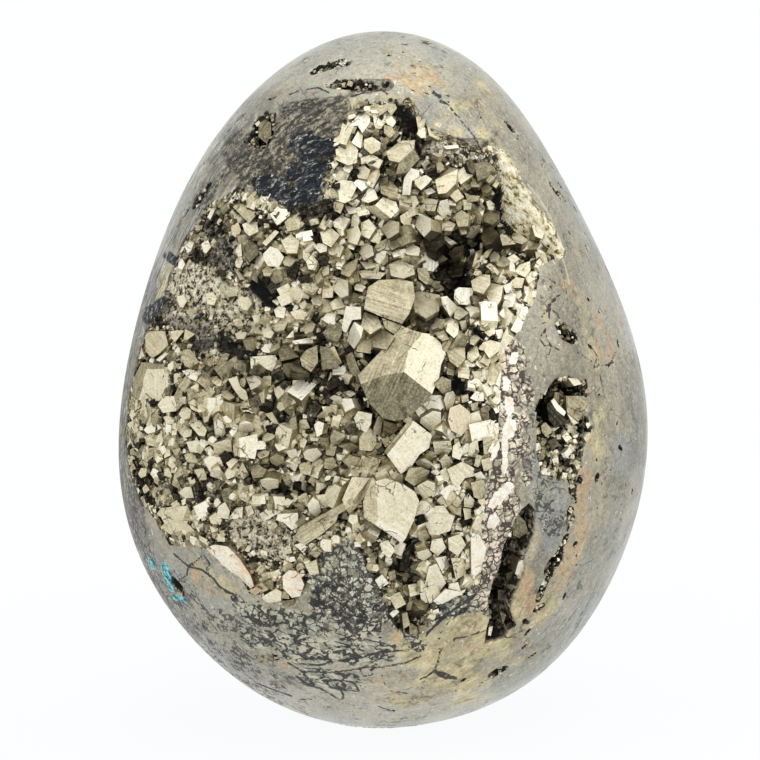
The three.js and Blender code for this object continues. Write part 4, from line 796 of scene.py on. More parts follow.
def depth_of(points):
    arms = points - HEART
    return reach(unit(arms)) - np.linalg.norm(arms, axis=-1)


# The map: directions from the heart laid flat around the front, in millimetres
def to_map(points):
    direction = unit(points - HEART)
    away = np.arccos(np.clip(-direction[..., 1], -1, 1))
    spread = MAP_RADIUS * away / np.maximum(np.hypot(direction[..., 0], direction[..., 2]), 1e-9)
    return np.stack([direction[..., 0] * spread, direction[..., 2] * spread], -1)


def from_map(places):
    length = np.linalg.norm(places, axis=-1)
    away = length / MAP_RADIUS
    spread = np.sin(away) / np.maximum(length, 1e-9)
    return np.stack([places[..., 0] * spread, -np.cos(away), places[..., 1] * spread], -1)


def at_depth(places, depth):
    direction = from_map(places)
    return HEART + direction * (reach(direction) - depth)[..., None]


# Where the picture shows points of the front, and the sight lines through its places
def to_picture(points):
    arm = points - EYE
    far = arm @ AHEAD
    column = PICTURE / 2 + FOCUS * (arm @ RIGHT) / far
    row = PICTURE / 2 - FOCUS * (arm @ ABOVE) / far
    return np.stack([column, row], -1)


def lines_of_sight(pixels):
    pixels = np.asarray(pixels, float)
    return (AHEAD + (pixels[..., 0:1] - PICTURE / 2) / FOCUS * RIGHT
            + (PICTURE / 2 - pixels[..., 1:2]) / FOCUS * ABOVE)


# The points that picture places show, at some depth below the ideal egg
def sight(pixels, depth=0.0):
    line = lines_of_sight(pixels)
    depth = np.broadcast_to(depth, line.shape[:-1])
    lengths = np.arange(EYE_DISTANCE - HEIGHT / 2, EYE_DISTANCE, SIGHT_STEP)
    marched = EYE + line[..., None, :] * lengths[:, None]
    deep = depth_of(marched) >= depth[..., None]
    first = np.where(deep.any(-1), deep.argmax(-1), len(lengths) - 1)
    near = lengths[np.maximum(first - 1, 0)]
    far = lengths[first]
    for _ in range(SIGHT_HALVINGS):
        middle = (near + far) / 2
        shallow = depth_of(EYE + line * middle[..., None]) < depth
        near = np.where(shallow, middle, near)
        far = np.where(shallow, far, middle)
    return EYE + line * near[..., None]


# A point moved along its own sight line to another depth
def slid(point, depth):
    line = unit(point - EYE)
    for _ in range(2):
        steep = max(-line @ unit(point - HEART), 0.25)
        point = point + line * (depth - depth_of(point)) / steep
    return point


def map_places(pixels):
    return to_map(sight(pixels))


# Distance to the nearest side of a closed outline, less than nothing outside it
def distance_inside(places, outline):
    nearest = np.full(len(places), np.inf)
    inside = np.zeros(len(places), bool)
    for start, end in zip(outline, np.roll(outline, -1, 0)):
        side = end - start
        share = np.clip((places - start) @ side / (side @ side), 0, 1)
        nearest = np.minimum(nearest, np.linalg.norm(places - start - share[:, None] * side, axis=1))
        between_rows = (start[1] > places[:, 1]) != (end[1] > places[:, 1])
        level = start[0] + (places[:, 1] - start[1]) / (side[1] or 1e-9) * side[0]
        inside ^= between_rows & (places[:, 0] < level)
    return np.where(inside, nearest, -nearest)


# Distance in the picture to a line through some places
def distance_to_line(pixels, places):
    nearest = np.full(len(pixels), np.inf)
    for start, end in zip(places[:-1], places[1:]):
        side = end - start
        share = np.clip((pixels - start) @ side / max(side @ side, 1e-9), 0, 1)
        nearest = np.minimum(nearest, np.linalg.norm(pixels - start - share[:, None] * side, axis=1))
    return nearest


# A value read between marked places, each weighing less with distance
class Marks:
    def __init__(self, rows):
        rows = np.array(rows, float)
        self.places = map_places(rows[:, :2])
        self.values = rows[:, 2]

    def __call__(self, places):
        apart = ((places[:, None] - self.places) ** 2).sum(-1)
        weight = 1 / (apart + MARK_SOFTNESS) ** 2
        return (weight * self.values).sum(1) / weight.sum(1)


# Smooth noise at points, about one wave for each size given
def rough(points, size, seed=0.0):
    shifted = points / size + seed
    return np.array([noise.noise(point) for point in shifted])


# How strongly a coloured zone shows at picture places
def zone(name, pixels):
    strength = np.zeros(len(pixels))
    for x0, y0, x1, y1, width, most in ZONES[name]:
        apart = distance_to_line(pixels, np.array([(x0, y0), (x1, y1)], float))
        strength = np.maximum(strength, most * (1 - smoothstep(apart, 0.4 * width, 1.1 * width)))
    return strength


class Hollow:
    def __init__(self, edge, soundings, runs):
        self.outline = map_places(edge)
        self.soundings = Marks(soundings)
        self.runs = runs

    def floor(self, places, stray=0.0):
        inside = distance_inside(places, self.outline) + stray
        run = self.runs(places) if callable(self.runs) else self.runs
        return self.soundings(places) * smoothstep(inside, 0, run)

    # How deep the crust that lines it lies, where crystals are rooted
    def bed(self, places):
        floor = self.floor(places)
        return np.maximum(floor - CRUST_DEPTH, SHALLOW_BED * floor)


front_hollow = Hollow(HOLLOW_EDGE, SOUNDINGS, Marks(WALL_RUNS))
vug = Hollow(VUG_EDGE, VUG_SOUNDINGS, 0.5)
cleft = Hollow(CLEFT_EDGE, CLEFT_SOUNDINGS, 0.4)
crust_outline = map_places(CRUST_EDGE)
grain_size = Marks(GRAINS)
fairness = Marks(FAIRNESS)


def frames_at(points):
    outward = unit(points - HEART)
    right = unit(np.cross([0.0, 0.0, 1.0], outward))
    up = np.cross(outward, right)
    return np.stack([right, up, outward], -1)


def deselect():
    bpy.ops.object.select_all(action="DESELECT")


def make_active(piece):
    deselect()
    piece.select_set(True)
    bpy.context.view_layer.objects.active = piece


def to_edit(piece):
    make_active(piece)
    bpy.ops.object.mode_set(mode="EDIT")


def to_object():
    bpy.ops.object.mode_set(mode="OBJECT")


def vertices_of(piece):
    flat = np.empty(len(piece.data.vertices) * 3)
    piece.data.vertices.foreach_get("co", flat)
    return flat.reshape(-1, 3)


def set_vertices(piece, points):
    piece.data.vertices.foreach_set("co", np.asarray(points, float).ravel())
    piece.data.update()


def add_value(piece, name, values, domain="POINT"):
    layer = piece.data.attributes.new(name, "FLOAT", domain)
    layer.data.foreach_set("value", np.asarray(values, np.float32).ravel())


def dress(piece, material, slot, *nodes):
    piece.data.materials.clear()
    piece.data.materials.append(material)
    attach(piece, "root")
    if nodes:
        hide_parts(*nodes)
    return piece


# The pits at some points: how deep they are and how much of the place is a pit
def pits_at(points, stray):
    depth = np.zeros(len(points))
    share = np.zeros(len(points))
    for column, row, length, width, deep, tilt in PITS + SMALL_PITS:
        middle = sight((column, row))
        close = np.flatnonzero(np.linalg.norm(points - middle, axis=1) < length + 0.4)
        if not len(close):
            continue
        arm = (points[close] - middle) @ frames_at(middle)
        along = arm[:, 0] * cos(radians(tilt)) + arm[:, 1] * sin(radians(tilt))
        across = arm[:, 1] * cos(radians(tilt)) - arm[:, 0] * sin(radians(tilt))
        out = np.hypot(2 * along / length, 2 * across / width) - 0.9 * stray[close] / min(1, width)
        share[close] = np.maximum(share[close], 1 - smoothstep(out, 0.85, 1.15))
        depth[close] = np.maximum(depth[close], deep * (1 - smoothstep(out, 0.45, 1.1)))
    return depth, share


def near_edges(points, places, margin):
    near = np.abs(distance_inside(places, front_hollow.outline)) < margin
    for hollow in (vug, cleft):
        near |= np.abs(distance_inside(places, hollow.outline)) < margin
    for column, row, length, *_ in PITS + SMALL_PITS:
        near |= np.linalg.norm(points - sight((column, row)), axis=1) < 0.6 * length + 0.3 * margin
    return near


def refine(piece, chosen):
    corners = np.empty(len(piece.data.loops), int)
    piece.data.loops.foreach_get("vertex_index", corners)
    starts = np.empty(len(piece.data.polygons), int)
    piece.data.polygons.foreach_get("loop_start", starts)
    to_edit(piece)
    bpy.ops.mesh.select_mode(type="FACE")
    bpy.ops.mesh.select_all(action="DESELECT")
    to_object()
    piece.data.polygons.foreach_set("select", np.logical_or.reduceat(chosen[corners], starts))
    to_edit(piece)
    bpy.ops.mesh.subdivide(number_cuts=1)
    to_object()


def make_body(material):
    deselect()
    bpy.ops.mesh.primitive_ico_sphere_add(subdivisions=7, radius=1)
    piece = bpy.context.object
    piece.name = "polished_egg"

    def egg_points():
        direction = unit(vertices_of(piece))
        return HEART + direction * reach(direction)[:, None]

    # the front is finer than the back, and finest along the edges and round the pits
    points = egg_points()
    under_crust = distance_inside(to_map(points), crust_outline) > UNDER_CRUST
    refine(piece, (points[:, 1] < FINE_FRONT) & ~under_crust)
    points = egg_points()
    refine(piece, near_edges(points, to_map(points), EDGE_BAND) & (points[:, 1] < FRONT_FADE[1]))

    points = egg_points()
    places = to_map(points)
    pixels = to_picture(points)
    front = 1 - smoothstep(points[:, 1], *FRONT_FADE)
    stray = 0.30 * rough(points, 2.2) + 0.20 * rough(points, 0.8, 7)
    depth = front_hollow.floor(places, stray * 1.3)
    depth = np.maximum(depth, vug.floor(places, 0.8 * stray))
    depth = np.maximum(depth, cleft.floor(places, 0.8 * stray))
    pit_depth, pit = pits_at(points, stray)
    depth = np.maximum(depth, pit_depth) * front
    etched = zone("etched", pixels) * 0.25 + zone("gold", pixels) * 0.55 + zone("soot", pixels) * 0.2
    slope = smoothstep(depth, 0.05, 1)
    relief = front * (etched * rough(points, 0.9, 3) + 0.10 * slope * rough(points, 0.6, 5))
    outward = unit(points - HEART)
    lifted = points - outward * (SKIN + depth + np.abs(relief))[:, None]
    lifted[:, 2] = np.where(points[:, 2] < 0.03, 0, lifted[:, 2])
    set_vertices(piece, in_box(lifted) * MM)

    for name in ZONES:
        add_value(piece, name, zone(name, pixels) * front)
    for name, rows in (("vein", VEINS), ("pale_line", PALE_LINES)):
        nearest = np.full(len(points), FAR_OFF)
        for width, *numbers in rows:
            nearest = np.minimum(nearest, 2 * distance_to_line(pixels, drawn(numbers)) / width)
        add_value(piece, name, np.where(front > 0.5, nearest, FAR_OFF))
    flake = np.zeros(len(points))
    for numbers in FLAKES:
        flake = np.maximum(flake, smoothstep(distance_inside(pixels, drawn(numbers)), -1.5, 1.0))
    add_value(piece, "flake", flake * front)
    add_value(piece, "pit", pit * front)
    add_value(piece, "depth", depth)
    make_active(piece)
    bpy.ops.object.shade_smooth()
    return dress(piece, material, "polished_ore", "egg_body")


# What holds for every scattered crystal
LARGEST = 2.0      # millimetres
EDGE_MARGIN = 0.1  # how far inside the edge they keep, in millimetres
MOST_LEAN = 50     # degrees
DARK_TONE = 0.13
# painted light: faces turned towards this way are painted brighter, faces turned away painted darker as
# shade
PAINTED_LIGHT_WAY = unit(np.array([0.35, -1.0, 0.55]))  # faces turned this way are bright

# Scattered crystals, from the coarsest: whether their size follows the grain's, how many places are
# tried, their size beside the grain's, how near they grow to each other, how high they stand, the room
# they leave round faces read off the picture, how few grow in deep and in sooty places, how bright they
# are, how far that varies, and the share that stays dark
KINDS = {
    "middling_crystals": dict(
        grown=True, tries=7000, size=1.0, apart=0.37, lift=0.0, room=0.40, empty=1.5, scarce=1.5,
        tone=0.66, range=0.16, dark=0.02),
    "small_crystals": dict(
        grown=True, tries=18000, size=0.58, apart=0.36, lift=0.12, room=0.32, empty=1.1, scarce=0.9,
        tone=0.64, range=0.22, dark=0.09),
    "druse_grains": dict(
        grown=True, tries=42000, size=0.28, apart=0.38, lift=0.45, room=0.18, empty=0.85, scarce=0.35,
        tone=0.60, range=0.32, dark=0.26),
}
VUG_KIND = dict(grown=False, tries=2600, size=0.58, apart=0.36, lift=0.4, room=0.1, empty=1.3, scarce=1,
                tone=0.62, range=0.34, dark=0.22)
CLEFT_KIND = dict(VUG_KIND, tries=900, tone=0.22, range=0.2)
FLECK_KIND = dict(VUG_KIND, tries=900, size=0.7, apart=0.6, lift=0.3, tone=0.5, range=0.3)

# Crystal forms: a cube of edge 1, cut by planes given as a normal and its distance out
CUTS = [
    [],
    [((1, 1, 1), 0.62)],
    [((1, 1, 0), 0.56), ((-1, 1, 1), 0.66)],
    [((1, 2, 0), 0.46), ((1, -2, 0), 0.46), ((0, 1, 2), 0.47), ((0, -1, 2), 0.47), ((2, 0, 1), 0.47),
     ((-2, 0, 1), 0.47)],
    [((1, 1, 1), 0.6), ((-1, -1, 1), 0.7), ((1, -1, 1), 0.68)],
    [((0, 1, 1), 0.54), ((1, 0, 2), 0.5)],
    [((-1, 0, 1), 0.52), ((1, 1, 1), 0.74)],
    [((1, 2, 0), 0.44), ((-1, 0, 2), 0.48), ((0, -2, 1), 0.46)],
]


class Form:
    """A crystal's mesh as arrays, ready to be copied."""

    def __init__(self, cuts):
        deselect()
        bpy.ops.mesh.primitive_cube_add(size=1)
        piece = bpy.context.object
        to_edit(piece)
        for normal, distance in cuts:
            normal = Vector(normal).normalized()
            bpy.ops.mesh.select_all(action="SELECT")
            bpy.ops.mesh.bisect(plane_co=normal * distance, plane_no=normal, use_fill=True, clear_outer=True)
        to_object()
        mesh = piece.data
        self.points = vertices_of(piece)
        self.counts = np.array([len(face.vertices) for face in mesh.polygons])
        self.corners = np.concatenate([list(face.vertices) for face in mesh.polygons])
        self.normals = np.array([face.normal for face in mesh.polygons])
        facing = np.repeat(np.abs(self.normals).argmax(1), self.counts)
        # stripes run along the next axis on each pair of faces, so they are counted across the one after
        self.stripes = self.points[self.corners, (facing + 2) % 3]
        bpy.data.objects.remove(piece)
        bpy.data.meshes.remove(mesh)


class Heap:
    """Crystals gathered as arrays, to be made into one mesh."""

    def __init__(self):
        self.rows = []
        self.total = 0

    def add(self, points, corners, counts, tones, stripes, shades, middle=None):
        middles = points if middle is None else np.tile(middle, (len(points), 1))
        corners = np.asarray(corners) + self.total
        self.rows.append((points, corners, counts, np.repeat(tones, counts), stripes, shades, middles))
        self.total += len(points)

    def make(self, name, material, *nodes):
        points, corners, counts, tones, stripes, shades, middles = map(np.concatenate, zip(*self.rows))
        mesh = bpy.data.meshes.new(name)
        mesh.vertices.add(len(points))
        mesh.vertices.foreach_set("co", (points * MM).ravel())
        mesh.loops.add(len(corners))
        mesh.loops.foreach_set("vertex_index", corners)
        mesh.polygons.add(len(counts))
        mesh.polygons.foreach_set("loop_start", np.concatenate([[0], np.cumsum(counts)[:-1]]))
        mesh.polygons.foreach_set("use_smooth", np.zeros(len(counts), bool))
        mesh.update(calc_edges=True)
        piece = bpy.data.objects.new(name, mesh)
        bpy.context.scene.collection.objects.link(piece)
        add_value(piece, "shade", shades)
        add_value(piece, "blush", zone("blush", to_picture(middles)))
        add_value(piece, "tone", tones, "CORNER")
        add_value(piece, "stripes", stripes, "CORNER")
        return dress(piece, material, "pyrite_crystal", *nodes)


def ground_flat(points):
    over = np.maximum(POLISH_GAP - depth_of(points), 0)
    return in_box(points - unit(points - HEART) * over[..., None])


def leant(turn, lean, side):
    side = radians(side)
    hinge = Vector((-sin(side), cos(side), 0))
    return np.array(Matrix.Rotation(radians(lean), 3, hinge) @ Matrix.Rotation(radians(turn), 3, "Z"))


VIEW = np.stack([RIGHT, ABOVE, -AHEAD], -1)
STEEPEST = 0.6  # how far a face may rise beside its length
BENDS = (0, 0.35, 0.6, 0.85)


# The tilt that makes the outline of a face a square's, if it needn't be steeper than is likely
def likely_lean(outline, outward, dice):
    local = outward @ VIEW
    if len(outline) not in (4, 5, 6):
        right = 0.5 * local[0] + dice.uniform(-0.3, 0.3)
        up = 0.5 * local[1] + dice.uniform(-0.3, 0.3)
        return unit(np.array([right, up, 0.8]))
    first = outline[1] - outline[0]
    second = outline[2] - outline[1]
    product = -(first @ second)
    gap = second @ second - first @ first
    rise = np.sqrt(max(0.0, (gap + np.hypot(gap, 2 * product)) / 2))
    rise = min(rise, STEEPEST * np.linalg.norm(first))
    steepest = STEEPEST * np.linalg.norm(second)
    fall = np.clip(product / max(rise, 1e-3), -steepest, steepest)
    normal = unit(np.cross((*first, rise), (*second, fall)))
    normal = normal * np.sign(normal[2])
    turned = normal * (-1, -1, 1)
    return normal if normal @ local > turned @ local else turned


# Where the lines of sight through picture places meet a plane
def on_plane(pixels, anchor, normal):
    lines = lines_of_sight(pixels)
    return EYE + lines * (((anchor - EYE) @ normal) / (lines @ normal))[:, None]


# A crystal's front is lifted until its rim is clear of the bed, and bent outwards where that isn't enough
def settled(top, wanted, size, leans, outwards, outlines, hollow):
    least = max(POLISH_GAP + 0.05, wanted - 0.9 * size)
    for bend in BENDS:
        bent = [unit((1 - bend) * lean + bend * outward) for lean, outward in zip(leans, outwards)]
        depth = wanted
        for _ in range(3):
            anchor = slid(top, depth)
            rims = [on_plane(outline, anchor, normal) for normal, outline in zip(bent, outlines)]
            rims = np.concatenate(rims)
            sunk = (depth_of(rims) - hollow.bed(to_map(rims))).max() + 0.2 * size
            if sunk < 0.02 or depth <= least:
                break
            depth = max(depth - sunk, least)
        if sunk < 0.1:
            break
    return bent, depth


# Crystals read off the picture: each face lies on its own plane through its corners
def faces_heap(groups, hollow, dice, raised=0.5, level=False):
    heap = Heap()
    every_outline = [[outline_of(face) for face in group] for group in groups]
    joined = [np.concatenate(outlines) for outlines in every_outline]
    spans = [(corners.min(0), corners.max(0)) for corners in joined]
    beds = hollow.bed(to_map(sight([(low + high) / 2 for low, high in spans])))
    anchors = sight([group_anchor(group, outlines) for group, outlines in zip(groups, every_outline)])
    starts = iter(sight([outline.mean(0) for outlines in every_outline for outline in outlines]))
    for group, outlines, (low, high), bed, top in zip(groups, every_outline, spans, beds, anchors):
        size = PIXEL * np.sqrt(np.prod(high - low))
        leans = []
        outwards = []
        for (tone, right, up, *_), outline in zip(group, outlines):
            outwards.append(unit(next(starts) - HEART))
            if level:
                leans.append(outwards[-1])
            elif right is None:
                leans.append(VIEW @ likely_lean(clockwise(outline)[::-1] * (1, -1), outwards[-1], dice))
            else:
                leans.append(VIEW @ unit(np.array([np.tan(radians(right)), np.tan(radians(up)), 1.0])))
        if level:
            depth = POLISH_GAP
        else:
            wanted = max(bed - raised * size, 0.1 * size + POLISH_GAP)
            leans, depth = settled(top, wanted, size, leans, outwards, outlines, hollow)
        anchor = slid(top, depth)
        outward = unit(anchor - HEART)
        spots = {}
        faces = []
        for (tone, *_), normal, outline in zip(group, leans, outlines):
            outline = clockwise(outline)[::-1]
            loop = []
            for pixel, point in zip(map(tuple, outline), on_plane(outline, anchor, normal)):
                if pixel not in spots:
                    spots[pixel] = (len(spots), point)
                loop.append(spots[pixel][0])
            faces.append((loop, tone, normal))
        front = np.array([point for _, point in spots.values()])
        # the sides run back from the rim of all the faces
        edges = {(a, b) for loop, *_ in faces for a, b in zip(loop, loop[1:] + loop[:1])}
        rim = [(a, b) for a, b in edges if (b, a) not in edges]
        back_way = unit(AHEAD - unit(sum(normal for *_, normal in faces) + 0.5 * outward))
        length = max(0.9 * size, min(bed - depth + 0.4 * size, 2.5 * size), 0.6)
        centre = front.mean(0)
        back = centre + 0.94 * (front - centre) + back_way * length
        points = np.concatenate([front, back])
        corners, counts, tones = [], [], []
        fair = 0.05 + 0.35 * fairness(to_map(centre)[None])[0] if hollow is front_hollow else 0.0
        for loop, tone, _ in faces:
            corners += loop
            counts.append(len(loop))
            tones.append(tone + fair if 0.35 < tone < 0.9 else min(tone, 0.93))
        # the sides are painted darker than the first face, as shade, and now and then lighter
        base = faces[0][1]
        for a, b in sorted(rim):
            corners += [b, a, a + len(front), b + len(front)]
            counts.append(4)
            tones.append(np.clip(base * dice.uniform(0.35, 0.85) + dice.choice([0, 0, 0, 0.25]), 0.06, 1))
        points = ground_flat(points)
        along = unit(front[faces[0][0][1]] - front[faces[0][0][0]])
        across = unit(np.cross(along, faces[0][2]))
        stripes = points[corners] @ across + 5.3 * heap.total
        shades = np.concatenate([np.ones(len(front)), np.zeros(len(front))])
        heap.add(points, corners, counts, tones, stripes, shades, centre)
    return heap


def clockwise(outline):
    arms = outline - outline.mean(0)
    return outline if np.cross(arms, np.roll(arms, -1, 0)).sum() > 0 else outline[::-1]


# Faces of one crystal meet where their shared corners are
def group_anchor(group, outlines):
    if len(outlines) == 1:
        return outlines[0].mean(0)
    shared = [corner for corner in outlines[0] if (outlines[1] == corner).all(1).any()]
    if len(outlines) > 2:
        both = [corner for corner in shared if (outlines[2] == corner).all(1).any()]
        shared = both or shared
    return np.mean(shared, 0)


def single_groups(rows):
    return [[(tone, None, None, *numbers)] for tone, *numbers in rows]


# Whether crystals of some sizes would stand in front of faces read off the picture
def covers(pixels, sizes, groups, share):
    margins = share * sizes / PIXEL
    covered = np.zeros(len(pixels), bool)
    for group in groups:
        for face in group:
            outline = outline_of(face)
            low, high = outline.min(0) - margins.max(), outline.max(0) + margins.max()
            close = ((pixels > low) & (pixels < high)).all(1)
            close = np.flatnonzero(close & ~covered)
            if len(close):
                covered[close] = distance_inside(pixels[close], outline) > -margins[close]
    return covered


# Crystals scattered over a hollow's bed, as coarse as the grain there, grown into one another
def scattered(hollow, outline, taken, picked, kind, dice, forms):
    heap = Heap()
    low, high = outline.min(0), outline.max(0)
    places = dice.uniform(low, high, (kind["tries"], 2))
    places = places[distance_inside(places, outline) > EDGE_MARGIN]
    grain = grain_size(places) if kind["grown"] else 1.0
    sizes = np.minimum(kind["size"] * grain * dice.uniform(0.6, 1.4, len(places)), LARGEST)
    pixels = to_picture(at_depth(places, hollow.bed(places)))
    free = ~covers(pixels, sizes, picked, kind["room"])
    free &= dice.uniform(size=len(places)) > zone("deep", pixels) * kind["empty"]
    free &= dice.uniform(size=len(places)) > zone("soot", pixels) * kind["scarce"]
    free &= dice.uniform(size=len(places)) > zone("rock", pixels) * 0.85
    free &= np.maximum(zone("gold", pixels), zone("matrix", pixels)) < 0.2
    places, sizes = places[free], sizes[free]
    spots = np.zeros((len(taken) + len(places), 3))
    spots[:len(taken)] = taken
    count = len(taken)
    kept = []
    for index, (place, size) in enumerate(zip(places, sizes)):
        apart = np.hypot(*(spots[:count, :2] - place).T)
        if count and (apart < kind["apart"] * (spots[:count, 2] + size)).any():
            continue
        spots[count] = (*place, size)
        count += 1
        kept.append(index)
    places, sizes = places[kept], sizes[kept]
    beds = hollow.bed(places)
    middles = at_depth(places, np.maximum(beds - kind["lift"] * sizes, 0.25 * sizes))
    uprights = frames_at(middles)
    pixels = to_picture(middles)
    # crystals are black where soot covers them, and painted black as shade in deep places
    blacks = np.maximum(zone("soot", pixels), zone("deep", pixels))
    kinds = dice.integers(0, len(forms), len(places))
    for number, form in enumerate(forms):
        chosen = np.flatnonzero(kinds == number)
        if not len(chosen):
            continue
        count_here = len(chosen)
        leans = MOST_LEAN * dice.uniform(size=count_here) ** 0.8
        axes = np.array([uprights[index] @ leant(dice.uniform(0, 90), lean, dice.uniform(0, 360))
                         for index, lean in zip(chosen, leans)])
        long_side = 1 + 0.7 * dice.uniform(size=count_here) ** 2
        flat_side = dice.uniform(0.8, 1.2, count_here)
        stretch = sizes[chosen][:, None] * np.stack([long_side, np.ones(count_here), flat_side], -1)
        placed = np.einsum("nij,nkj->nki", axes, form.points[None] * stretch[:, None])
        placed = ground_flat(placed + middles[chosen][:, None])
        # each face's tone gets painted light as it turns towards the bright way, and painted shade as it
        # turns away
        facing = np.einsum("nij,kj->nki", axes, form.normals) @ PAINTED_LIGHT_WAY
        fair = fairness(places[chosen])[:, None] if kind["grown"] else 0.0
        bright = np.clip(dice.normal(kind["tone"], kind["range"], (count_here, 1)) + fair, 0.12, 0.97)
        bright = np.where(dice.uniform(size=(count_here, 1)) < kind["dark"], DARK_TONE, bright)
        tones = bright * (0.55 + 0.55 * facing) + dice.normal(0, 0.13, facing.shape)
        black = dice.uniform(size=count_here) < 0.85 * blacks[chosen]
        tones = np.where(black[:, None], dice.uniform(0.02, 0.16, facing.shape), tones)
        height = (beds[chosen][:, None] - depth_of(placed)) / sizes[chosen][:, None]
        corners = form.corners[None] + np.arange(count_here)[:, None] * len(form.points)
        stripes = form.stripes[None] * sizes[chosen][:, None] + 3.7 * chosen[:, None]
        heap.add(placed.reshape(-1, 3), corners.ravel(), np.tile(form.counts, count_here),
                 np.clip(tones, 0.02, 1).ravel(), stripes.ravel(), smoothstep(height, -0.45, 0.0).ravel())
    return heap, spots[:count]


# Small crystals inside the pits, gold in the light
def pit_grains(pits, dice, forms):
    heap = Heap()
    for column, row, length, width, deep, tilt in pits:
        middle = sight((column, row))
        upright = frames_at(middle)
        for _ in range(int(3 * length * width) + 2):
            out = 0.44 * np.sqrt(dice.uniform()) * np.array([length, width])
            angle = dice.uniform(0, 2 * pi)
            along, across = out[0] * cos(angle), out[1] * sin(angle)
            shift = np.array([along * cos(radians(tilt)) - across * sin(radians(tilt)),
                              along * sin(radians(tilt)) + across * cos(radians(tilt)), 0])
            size = dice.uniform(0.18, 0.62) * min(1, 0.5 + width / 2)
            place = to_map(middle + upright @ shift)
            away = 1 - np.hypot(2 * along / length, 2 * across / width)
            sunk = max(0.35 * size + 0.1, deep * min(1, 1.4 * away) - 0.2 * size)
            spot = at_depth(place[None], sunk)[0]
            form = forms[int(dice.integers(len(forms)))]
            axes = upright @ leant(dice.uniform(0, 90), dice.uniform(0, 50), dice.uniform(0, 360))
            points = ground_flat(spot + (form.points * size) @ axes.T)
            tones = np.clip(dice.normal(0.45, 0.3, len(form.counts)), 0.04, 1)
            heap.add(points, form.corners, form.counts, tones, form.stripes * size, np.ones(len(points)))
    return heap


# The crust's own surface under the crystals: a closed sheet between two depths
def make_bed(name, hollow, outline, thickness, spacing, material):
    low, high = outline.min(0), outline.max(0)
    columns, lines = np.ceil((high - low) / spacing).astype(int)
    deselect()
    bpy.ops.mesh.primitive_grid_add(x_subdivisions=int(columns), y_subdivisions=int(lines), size=1)
    piece = bpy.context.object
    piece.name = name

    def places_now():
        return (low + high) / 2 + vertices_of(piece)[:, :2] * (high - low)

    outside = distance_inside(places_now(), outline) < 0.1
    to_edit(piece)
    bpy.ops.mesh.select_mode(type="VERT")
    bpy.ops.mesh.select_all(action="DESELECT")
    to_object()
    piece.data.vertices.foreach_set("select", outside)
    to_edit(piece)
    bpy.ops.mesh.delete(type="VERT")
    to_object()
    places = places_now()
    points = at_depth(places, np.zeros(len(places)))
    bed = hollow.bed(places)
    lumps = 0.55 * np.abs(rough(points, 1.6, 11)) + 0.3 * np.abs(rough(points, 0.7, 13))
    rocky = zone("rock", to_picture(points))
    depth = bed + 0.18 - lumps * smoothstep(bed, 0.3, 1.2) - 0.3 * rocky
    set_vertices(piece, in_box(at_depth(places, np.maximum(depth, POLISH_GAP))) * MM)
    wall = piece.modifiers.new("wall", "SOLIDIFY")
    wall.thickness = thickness * MM
    wall.offset = -1
    make_active(piece)
    bpy.ops.object.modifier_apply(modifier=wall.name)
    points = vertices_of(piece) / MM
    pixels = to_picture(points)
    # the bed's painted shade in deep places, and its darkening by soot
    add_value(piece, "clear_of_shade_and_soot", 1 - np.maximum(zone("deep", pixels), 0.7 * zone("soot", pixels)))
    add_value(piece, "rock", zone("rock", pixels))
    return dress(piece, material, "pyrite_crystal")


